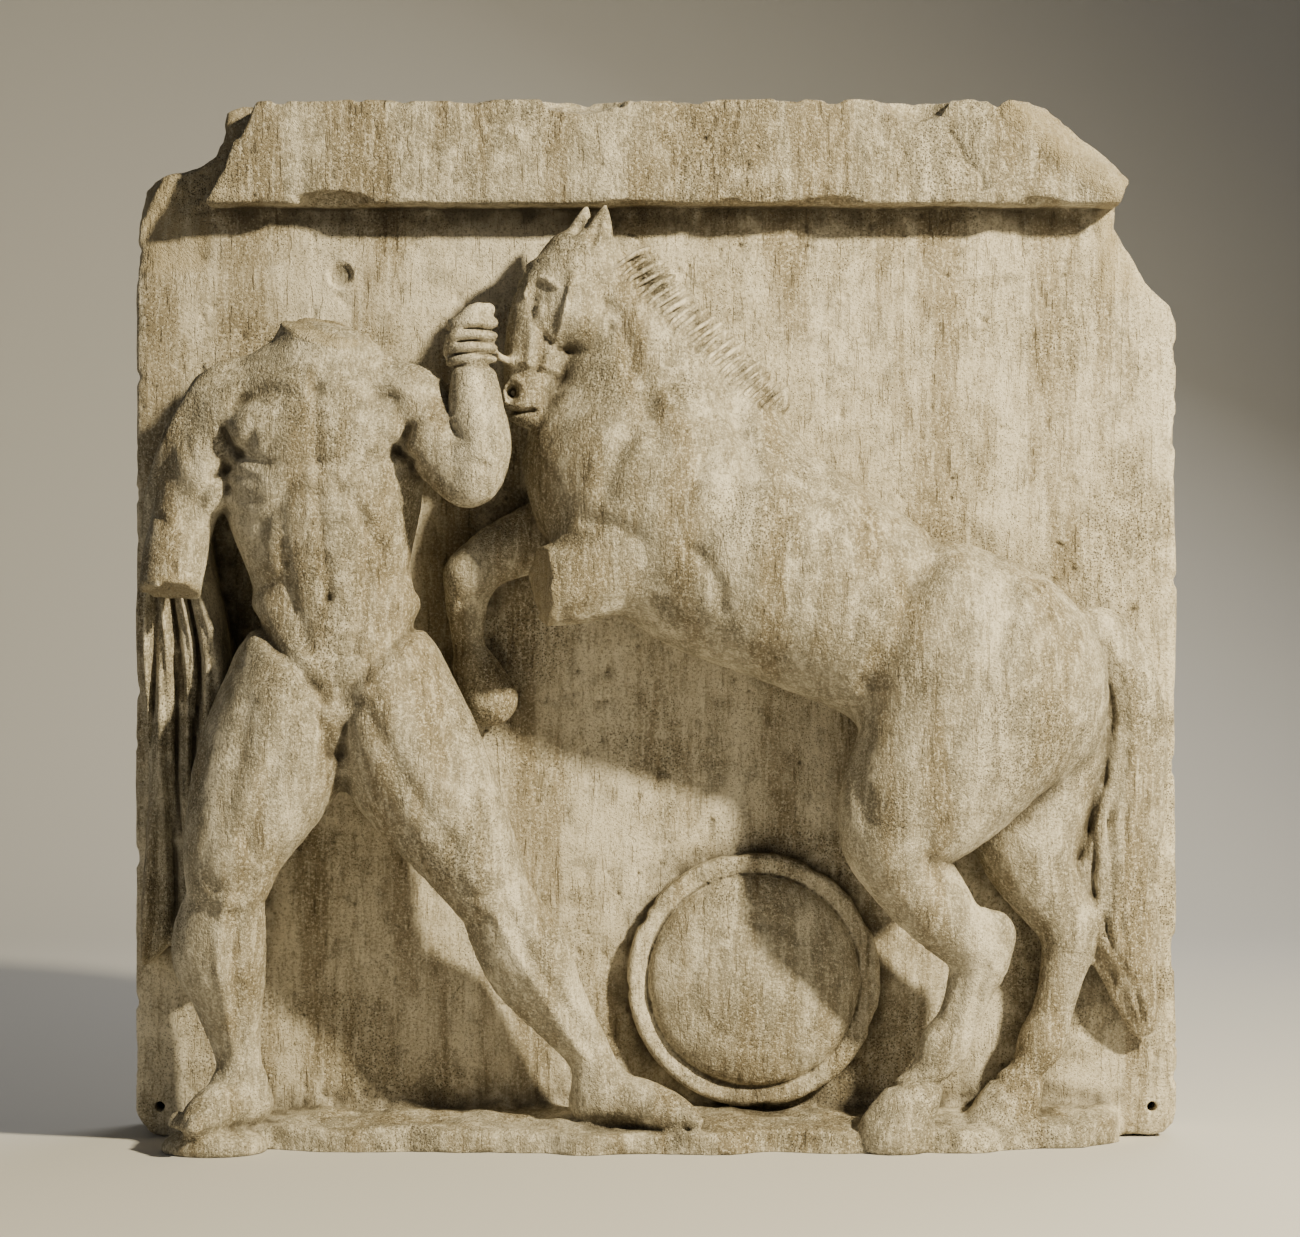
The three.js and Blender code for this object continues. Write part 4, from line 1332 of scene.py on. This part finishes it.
@dataclass
class Stonework:
    """Turns the carved volume into one closed mesh, roughens its skin and marks its wear and its hollows.
    """

    block: Block
    slab: Slab
    most_triangles: int = 194_000
    grain: float = 0.45
    scar_grain: float = 1.5
    near_reach: float = 6
    wide_reach: float = 34

    def skin(self) -> tuple[Array, Array]:
        """Find the surface.

        Returns:
            Corners in millimetres and the four-sided faces between them, in outward order.
        """
        grid = self.block.grid
        reach = 3 * grid.spacing
        volume = openvdb.FloatGrid(reach)
        volume.copyFromArray(np.clip(self.block.values, -reach, reach))
        points, quads = volume.convertToQuads(0.0)
        places = points * grid.spacing + grid.start
        return places.astype(np.float32), quads.astype(np.int64)

    def normals(self, places: Array, quads: Array) -> Array:
        """Find which way the skin faces.

        Args:
            places: Corners of the skin.
            quads: Its four-sided faces.

        Returns:
            The outward direction at each corner.
        """
        first, second, third, fourth = (places[quads[:, corner]] for corner in range(4))
        faces = np.cross(third - first, fourth - second)
        total = np.zeros((len(places), 3))
        for axis in range(3):
            weights = np.repeat(faces[:, axis], 4)
            total[:, axis] = np.bincount(quads.ravel(), weights, len(places))
        length = np.linalg.norm(total, axis=1, keepdims=True)
        return total / np.maximum(length, 1e-9)

    def scars(self, places: Array) -> Array:
        """Find the broken faces.

        Args:
            places: Corners of the skin.

        Returns:
            How much each corner belongs to a broken face, from 0 to 1.
        """
        x, y, z = places.T
        total = np.zeros(len(places), np.float32)
        for lost in self.block.breaks:
            near = ease(-np.abs(lost.height(x, y, z)), -8, -4)
            away = np.sqrt((x - lost.at[0]) ** 2 + (y + lost.at[2]) ** 2 + (z - lost.at[1]) ** 2)
            total = np.maximum(total, near * ease(-away, -lost.reach - 4, -lost.reach + 8))
        # The long break at the top right, its slanting fracture, the step at the left and the band's end.
        slab = self.slab
        right = ease(x, slab.half - 120, slab.half - 92) * ease(z, 1062, 1096) * ease(-y, -30, 10)
        slant = 0.7 * (x - 445) + (z - 1325) * 0.85
        top = ease(slant, -34, -12) * ease(x, 410, 450) * ease(z, 1170, 1200)
        left = ease(-x, slab.half - 116, slab.half - 78) * ease(z, 1092, 1130)
        end = ease(-x, slab.half - 150, slab.half - 120)
        end = end * ease(z, slab.band_foot - 6, slab.band_foot + 6) * 0.7
        for part in (right, top, left, end):
            total = np.maximum(total, part)
        return total

    def roughen(self, places: Array, quads: Array) -> Array:
        """Move the skin in and out by its grain, most of all on the broken faces.

        Args:
            places: Corners of the skin.
            quads: Its four-sided faces.

        Returns:
            The moved corners.
        """
        out = self.normals(places, quads)
        scar = self.scars(places)
        weathered = ease(out[:, 2], -0.1, 0.8) * ease(-out[:, 1], -0.3, 0.5)
        fine = Noise(101).at_points(places, 7)
        middle = Noise(102).at_points(places, 19)
        streaks = Noise(103).at_points(places, np.array([9, 14, 60]))
        lumps = Noise(104).at_points(places, 11)
        pits = np.maximum(Noise(105).at_points(places, 9) - 0.45, 0)
        proud = 0.15 + 0.85 * ease(-places[:, 1], 4, 24)
        move = self.grain * (0.5 * fine + 0.8 * middle) + weathered * 0.9 * streaks - 1.6 * pits
        move = proud * move + scar * self.scar_grain * lumps
        front = ease(-places[:, 1], -140, -110)
        return places + out * (move * front)[:, None]

    def build(self, name: str, depth_offset: float, fit: Array) -> bpy.types.Object:
        """Make the finished piece.

        Args:
            name: Name of the object.
            depth_offset: How far the stone moves back so that its origin is at the middle of its depth.
            fit: Share by which each axis follows the frame's size.

        Returns:
            The object, with its wear and hollows written on its points.
        """
        places, quads = self.skin()
        places = self.roughen(places, quads)
        mesh = bpy.data.meshes.new(name)
        mesh.vertices.add(len(places))
        mesh.vertices.foreach_set("co", (places * MILLIMETRE).astype(np.float32).ravel())
        mesh.loops.add(quads.size)
        mesh.loops.foreach_set("vertex_index", quads.astype(np.int32).ravel())
        mesh.polygons.add(len(quads))
        mesh.polygons.foreach_set("loop_start", np.arange(0, quads.size, 4, dtype=np.int32))
        mesh.update(calc_edges=True)
        mesh.validate()
        piece = bpy.data.objects.new(name, mesh)
        bpy.context.scene.collection.objects.link(piece)
        bpy.ops.object.select_all(action="DESELECT")
        piece.select_set(True)
        bpy.context.view_layer.objects.active = piece
        thin = piece.modifiers.new("thin", "DECIMATE")
        thin.ratio = min(1.0, self.most_triangles / (2 * len(quads)))
        bpy.ops.object.modifier_apply(modifier=thin.name)
        self._drop_crumbs(piece)
        bpy.ops.object.shade_smooth()
        self._mark(piece.data)
        self._place(piece.data, depth_offset, fit)
        return piece

    def _drop_crumbs(self, piece: bpy.types.Object) -> None:
        """Delete loose crumbs, so that one body is left.

        Args:
            piece: The stone.
        """
        mesh = piece.data
        count = len(mesh.vertices)
        pairs = np.empty(len(mesh.edges) * 2, np.int32)
        mesh.edges.foreach_get("vertices", pairs)
        pairs = pairs.reshape(-1, 2)
        group = np.arange(count)
        for _ in range(count):
            low = np.minimum(group[pairs[:, 0]], group[pairs[:, 1]])
            before = group.copy()
            np.minimum.at(group, pairs[:, 0], low)
            np.minimum.at(group, pairs[:, 1], low)
            group = group[group]
            if np.array_equal(before, group):
                break
        names, sizes = np.unique(group, return_counts=True)
        crumbs = group != names[np.argmax(sizes)]
        if not crumbs.any():
            return
        log.info("dropping %d loose points", int(crumbs.sum()))
        shell = bmesh.new()
        shell.from_mesh(mesh)
        loose = [point for point in shell.verts if crumbs[point.index]]
        bmesh.ops.delete(shell, geom=loose, context="VERTS")
        shell.to_mesh(mesh)
        shell.free()

    def _points(self, mesh: bpy.types.Mesh) -> Array:
        """Read the points of a mesh as rows of x, y and z."""
        places = np.empty(len(mesh.vertices) * 3, np.float32)
        mesh.vertices.foreach_get("co", places)
        return places.reshape(-1, 3)

    def _mark(self, mesh: bpy.types.Mesh) -> None:
        """Write scars, hollows and worn edges on the points.

        Args:
            mesh: The stone's mesh, still in the slab's own place.
        """
        places = self._points(mesh) / MILLIMETRE
        grid = self.block.grid
        air = np.clip(self.block.values / (2 * grid.spacing), -1, 1)
        close = box_blur(air, max(1, round(self.near_reach / grid.spacing)))
        near = sample(close, places, grid.start, grid.spacing)
        coarse = box_blur(air[::2, ::2, ::2], max(1, round(self.wide_reach / (2 * grid.spacing))))
        wide = sample(coarse, places, grid.start, 2 * grid.spacing)
        marks = {"scar": self.scars(places), "near_air": near, "wide_air": wide}
        for name, values in marks.items():
            layer = mesh.attributes.new(name, "FLOAT", "POINT")
            layer.data.foreach_set("value", values.astype(np.float32))

    def _place(self, mesh: bpy.types.Mesh, depth_offset: float, fit: Array) -> None:
        """Move the points to their place in the frame.

        Args:
            mesh: The stone's mesh.
            depth_offset: How far it moves back.
            fit: Share by which each axis follows the frame's size.
        """
        places = self._points(mesh)
        places[:, 1] += depth_offset
        places[:, 2] = np.maximum(places[:, 2], 0)
        mesh.vertices.foreach_set("co", (places * fit).astype(np.float32).ravel())
        mesh.update()


@dataclass
class NodeMaker:
    """Adds nodes to one material, each with its settings and links."""

    tree: bpy.types.NodeTree

    def add(self, kind: str, inputs: dict | None = None, **settings: object) -> bpy.types.Node:
        """Add a node.

        Args:
            kind: Type of the node, without its ShaderNode prefix.
            inputs: Values or output sockets for its inputs, by name or number.
            settings: Settings of the node itself.

        Returns:
            The node.
        """
        node = self.tree.nodes.new("ShaderNode" + kind)
        for name, value in settings.items():
            setattr(node, name, value)
        for name, value in (inputs or {}).items():
            if isinstance(value, bpy.types.NodeSocket):
                self.tree.links.new(value, node.inputs[name])
            else:
                node.inputs[name].default_value = value
        return node


@dataclass(frozen=True)
class WeatheredMarble:
    """Old marble, carved with points and rasps and weathered outdoors.

    Crystalline calcite has an IOR of about 1.5. Rain has opened its grain, so it is nearly matt, with
    rubbed high places paler and smoother, and every hollow darkened by painted shade mixed with grime.
    """

    bright: str = "#e3dac4"
    pale: str = "#c6bca5"
    body: str = "#a0967f"
    grey: str = "#6f6959"
    patina: str = "#75674c"
    # The darkest brown, for rain grooves and for the painted shade and grime in the hollows.
    dirt_and_painted_shade: str = "#3f3728"
    scar: str = "#a39577"
    speck: str = "#2f291f"
    roughness: float = 0.68
    rubbed_roughness: float = 0.54
    specular: float = 0.35
    ior: float = 1.5
    bump_strength: float = 0.9
    bump_height: float = 0.002
    rain_lean: float = 9

    def material(self) -> bpy.types.Material:
        """Build the material.

        Returns:
            The finished material, which reads Object coordinates and the marks on the stone's points.
        """
        material = bpy.data.materials.new("weathered_marble")
        material.use_nodes = True
        tree = material.node_tree
        tree.nodes.clear()
        make = NodeMaker(tree)
        place = make.add("TexCoord").outputs["Object"]
        names = ("scar", "near_air", "wide_air")
        scar, near, wide = (make.add("Attribute", attribute_name=name).outputs["Fac"] for name in names)
        smooth = {"interpolation_type": "SMOOTHSTEP"}

        # Rain runs a little aslant of upright, so its patterns lean that way and are eight times as tall.
        rain = make.add("Mapping", {
            "Vector": place,
            "Rotation": (0, -math.radians(self.rain_lean), 0),
            "Scale": (1, 0.6, 0.13),
        }).outputs[0]
        # The rain leaves streaks 7 mm wide and stains 70 mm wide. Grey clouds of 140 mm are broken up by
        # mottles of 30 mm, and the sugary grain of weathered crystals is 3.5 mm.
        patterns = ((rain, 7.143, 3, 0.6), (rain, 71.43, 4, 0.6), (place, 142.86, 4, 0.6),
                    (place, 30.303, 2, 0.55), (place, 3.5088, 2, 0.8))
        streaks, stains, clouds, mottles, grain = (
            make.add("TexNoise", {
                "Vector": where,
                "Scale": 1 / (lump * MILLIMETRE),
                "Detail": detail,
                "Roughness": rough,
            }).outputs["Fac"]
            for where, lump, detail, rough in patterns
        )
        # Dark pores 3 mm apart, thick in the grey clouds and rare elsewhere.
        pores = make.add("TexVoronoi", {
            "Vector": place,
            "Scale": 1 / (3.0303 * MILLIMETRE),
            "Randomness": 1,
        }).outputs["Distance"]
        thick = make.add("MapRange", {0: clouds, 1: 0.42, 2: 0.62, 3: 0.12, 4: 0.42}).outputs[0]
        pore = make.add("Math", {0: thick, 1: pores}, operation="SUBTRACT").outputs[0]
        pit = make.add("MapRange", {0: pores, 1: 0.3, 2: 0.1}).outputs[0]
        # Rain has bitten grooves along the streaks, and they are dark where the stone is stained.
        bitten = make.add("MapRange", {0: streaks, 1: 0.56, 2: 0.68}, **smooth).outputs[0]
        soft_bed = make.add("MapRange", {0: stains, 1: 0.51, 2: 0.62}, **smooth).outputs[0]
        groove = make.add("Math", {0: bitten, 1: soft_bed}, operation="MULTIPLY").outputs[0]
        # The figures stand out in the rain and are coarser than the ground behind them.
        forward = make.add("SeparateXYZ", {0: place}).outputs["Y"]
        weather = make.add("MapRange", {0: forward, 1: 0.03, 2: -0.03, 3: 0.7, 4: 1.5}).outputs[0]

        # The hollows are darkened by painted shade mixed with grime, thickest on the mottles,
        # and hands rub the high places pale.
        narrow = make.add("MapRange", {0: near, 1: -0.06, 2: -0.5}, **smooth).outputs[0]
        broad = make.add("MapRange", {0: wide, 1: 0.02, 2: -0.34, 4: 0.75}, **smooth).outputs[0]
        hollow = make.add("Math", {0: narrow, 1: broad}, operation="ADD").outputs[0]
        patchiness = make.add("MapRange", {0: mottles, 1: 0.3, 2: 0.62, 3: 0.45, 4: 1}).outputs[0]
        soil_and_painted_shade = make.add("Math", {0: hollow, 1: patchiness}, operation="MULTIPLY").outputs[0]
        proud = make.add("MapRange", {0: near, 1: 0.16, 2: 0.5}, **smooth).outputs[0]
        spared = make.add("MapRange", {0: mottles, 1: 0.62, 2: 0.4}).outputs[0]
        rubbed = make.add("Math", {0: proud, 1: spared}, operation="MULTIPLY").outputs[0]

        # Each layer lies over those before it: share, where the share starts and ends, most and colour.
        layers = (
            (clouds, 0.42, 0.6, 0.9, self.body),
            (weather, 0.7, 1.5, 0.56, self.grey),
            (mottles, 0.5, 0.68, 0.5, self.grey),
            (mottles, 0.47, 0.32, 0.45, self.bright),
            (stains, 0.48, 0.62, 0.7, self.patina),
            (stains, 0.46, 0.34, 0.5, self.bright),
            (streaks, 0.5, 0.66, 0.3, self.patina),
            (streaks, 0.48, 0.32, 0.35, self.bright),
            (grain, 0.5, 0.3, 0.6, self.bright),
            (grain, 0.5, 0.7, 0.7, self.grey),
            (groove, 0.0, 1.0, 0.55, self.dirt_and_painted_shade),
            (scar, 0.2, 0.8, 0.5, self.scar),
            # Painted shade, mixed with grime, darkens the hollows.
            (soil_and_painted_shade, 0.0, 1.0, 0.85, self.dirt_and_painted_shade),
            (rubbed, 0.0, 1.0, 0.6, self.bright),
            (pore, 0.0, 0.12, 0.65, self.speck),
        )
        colour = linear(self.pale)
        for share, start, end, most, code in layers:
            laid = make.add("MapRange", {0: share, 1: start, 2: end, 4: most}, **smooth)
            mixed = make.add("Mix", {0: laid.outputs[0], 6: colour, 7: linear(code)}, data_type="RGBA")
            colour = mixed.outputs[2]

        # Open grain, coarser on the broken faces, with rain grooves and pores in it.
        coarse = make.add("MapRange", {0: scar, 1: 0.1, 2: 0.8, 3: 1, 4: 2}).outputs[0]
        opened = make.add("Math", {0: weather, 1: coarse}, operation="MULTIPLY").outputs[0]
        height = make.add("Math", {0: grain, 1: opened}, operation="MULTIPLY").outputs[0]
        for value, share in ((streaks, 0.5), (bitten, -0.5), (pit, -0.5)):
            height = make.add("Math", {0: value, 1: share, 2: height}, operation="MULTIPLY_ADD").outputs[0]
        bump = make.add("Bump", {
            "Height": height,
            "Strength": self.bump_strength,
            "Distance": self.bump_height,
        })
        shine = make.add("MapRange", {0: rubbed, 3: self.roughness, 4: self.rubbed_roughness}).outputs[0]
        shader = make.add("BsdfPrincipled", {
            "Base Color": colour,
            "Roughness": shine,
            "IOR": self.ior,
            "Specular IOR Level": self.specular,
            "Normal": bump.outputs["Normal"],
        })
        make.add("OutputMaterial", {"Surface": shader.outputs["BSDF"]})
        return material


@dataclass
class Studio:
    """Floor, light and camera. The key light comes from the upper right, as raking gallery light does.

    Places are in metres from the middle of the stone, and sizes of the floor are in metres.
    """

    floor_colour: str = "#c9c7c3"
    floor_size: tuple[float, float] = (30.0, 24.0)
    floor_start: float = -18.0
    floor_end: float = 3.0
    floor_bend: float = 1.6
    floor_climb: float = 5 / 1.5
    floor_roughness: float = 0.8
    key_warmth: str = "#fff1cd"
    key_place: tuple[float, float, float] = (2.95, -2.8, 2.35)
    key_watts: float = 2450
    key_radius: float = 0.16
    key_spread: float = 84
    fill_watts: float = 8
    fill_place: tuple[float, float, float] = (-2.6, -3.2, 0.9)
    rear_watts: float = 90
    rear_place: tuple[float, float, float] = (1.4, 3.2, 2.4)
    panel_size: float = 2.8
    panel_colour: str = "#f6f4f0"
    world_colour: str = "#cfd2d6"
    world_strength: float = 0.09
    lens_mm: float = 100
    sensor_mm: float = 36
    picture_width: float = 1300
    picture_height: float = 1237
    slab_pixels: float = 1052
    slab_centre: tuple[float, float] = (656, 621)

    def light(self, target: Vector) -> None:
        """Hang a soft-edged spot, a broad fill and a broad lamp behind, and set a low even surround.

        Args:
            target: The middle of the stone, which all of them face.
        """
        key = bpy.data.lights.new("key", "SPOT")
        key.energy = self.key_watts
        key.color = linear(self.key_warmth)[:3]
        key.shadow_soft_size = self.key_radius
        key.spot_size = math.radians(self.key_spread)
        key.spot_blend = 1.0
        lamps = [(key, self.key_place)]
        panels = (("fill", self.fill_watts, self.fill_place), ("rear", self.rear_watts, self.rear_place))
        for name, watts, place in panels:
            panel = bpy.data.lights.new(name, "AREA")
            panel.shape = "DISK"
            panel.size = self.panel_size
            panel.energy = watts
            panel.color = linear(self.panel_colour)[:3]
            lamps.append((panel, place))
        for lamp, spot in lamps:
            place = Vector(spot)
            holder = bpy.data.objects.new(lamp.name, lamp)
            holder.location = target + place
            holder.rotation_euler = (-place).to_track_quat("-Z", "Y").to_euler()
            holder.visible_camera = False
            bpy.context.scene.collection.objects.link(holder)
        world = bpy.data.worlds.new("surround")
        world.use_nodes = True
        sky = world.node_tree.nodes["Background"]
        sky.inputs["Color"].default_value = linear(self.world_colour)
        sky.inputs["Strength"].default_value = self.world_strength
        bpy.context.scene.world = world

    def floor(self) -> bpy.types.Object:
        """Lay the pale floor and its curved rise behind.

        Returns:
            The floor.
        """
        bpy.ops.mesh.primitive_grid_add(x_subdivisions=2, y_subdivisions=96, size=1)
        ground = bpy.context.active_object
        ground.name = "floor"
        ground.data.name = "floor"
        width, depth = self.floor_size
        end, bend = self.floor_end, self.floor_bend
        for point in ground.data.vertices:
            along = (point.co.y + 0.5) * depth + self.floor_start
            turn = min(max((along - end) / bend, 0), math.pi / 2)
            beyond = max(along - end - bend * math.pi / 2, 0)
            y = min(along, end) + bend * math.sin(turn)
            z = bend * (1 - math.cos(turn)) + beyond * self.floor_climb
            # Half a millimetre under the stone, so that the two faces don't share a plane.
            point.co = (point.co.x * width, y, z - 0.5 * MILLIMETRE)
        bpy.ops.object.select_all(action="DESELECT")
        ground.select_set(True)
        bpy.ops.object.shade_smooth()
        paint = bpy.data.materials.new("studio_floor")
        paint.use_nodes = True
        shader = paint.node_tree.nodes["Principled BSDF"]
        shader.inputs["Base Color"].default_value = linear(self.floor_colour)
        shader.inputs["Roughness"].default_value = self.floor_roughness
        ground.data.materials.append(paint)
        ground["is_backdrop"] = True
        return ground

    def camera(self, low: Vector, high: Vector) -> bpy.types.Object:
        """Place the camera square to the relief, with the slab as large in its picture as in the photo.

        Args:
            low: Lowest corner of the stone.
            high: Highest corner of the stone.

        Returns:
            The camera.
        """
        lens = bpy.data.cameras.new("camera")
        lens.lens = self.lens_mm
        lens.sensor_width = self.sensor_mm
        lens.clip_end = 60
        width = (high.x - low.x) * self.picture_width / self.slab_pixels
        metres_per_pixel = width / self.picture_width
        distance = width * self.lens_mm / self.sensor_mm
        front = (low.y + high.y) / 2
        across = (self.picture_width / 2 - self.slab_centre[0]) * metres_per_pixel
        up = (self.slab_centre[1] - self.picture_height / 2) * metres_per_pixel
        holder = bpy.data.objects.new("camera", lens)
        holder.location = ((low.x + high.x) / 2 + across, front - distance, (low.z + high.z) / 2 + up)
        holder.rotation_euler = (math.pi / 2, 0, 0)
        bpy.context.scene.collection.objects.link(holder)
        bpy.context.scene.camera = holder
        return holder


def main() -> None:
    """Carve the plaque, dress it and set the studio."""
    logging.basicConfig(level=logging.INFO, format="%(name)s: %(message)s")
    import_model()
    cad_box = [[float(c) for c in corner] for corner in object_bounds()]
    low, high = (Vector(corner) for corner in cad_box)

    slab = Slab()
    block = Block(Grid(3.0))
    for form in (slab, Shield(), Horse(), Cloak(), Youth()):
        form.carve(block)
        log.info("carved %s", type(form).__name__)

    wide = (high.x - low.x) / (slab.width * MILLIMETRE)
    tall = (high.z - low.z) / (slab.height * MILLIMETRE)
    offset = high.y - slab.thickness * MILLIMETRE
    plaque = Stonework(block, slab).build("carved_plaque", offset, np.array([wide, 1, tall]))
    plaque.data.materials.append(WeatheredMarble().material())
    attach(plaque, "root")
    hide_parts("relief_plaque")
    log.info("%s: %d faces", plaque.name, len(plaque.data.polygons))

    studio = Studio()
    studio.floor()
    studio.light((low + high) / 2)
    studio.camera(low, high)


if __name__ == "__main__":
    main()
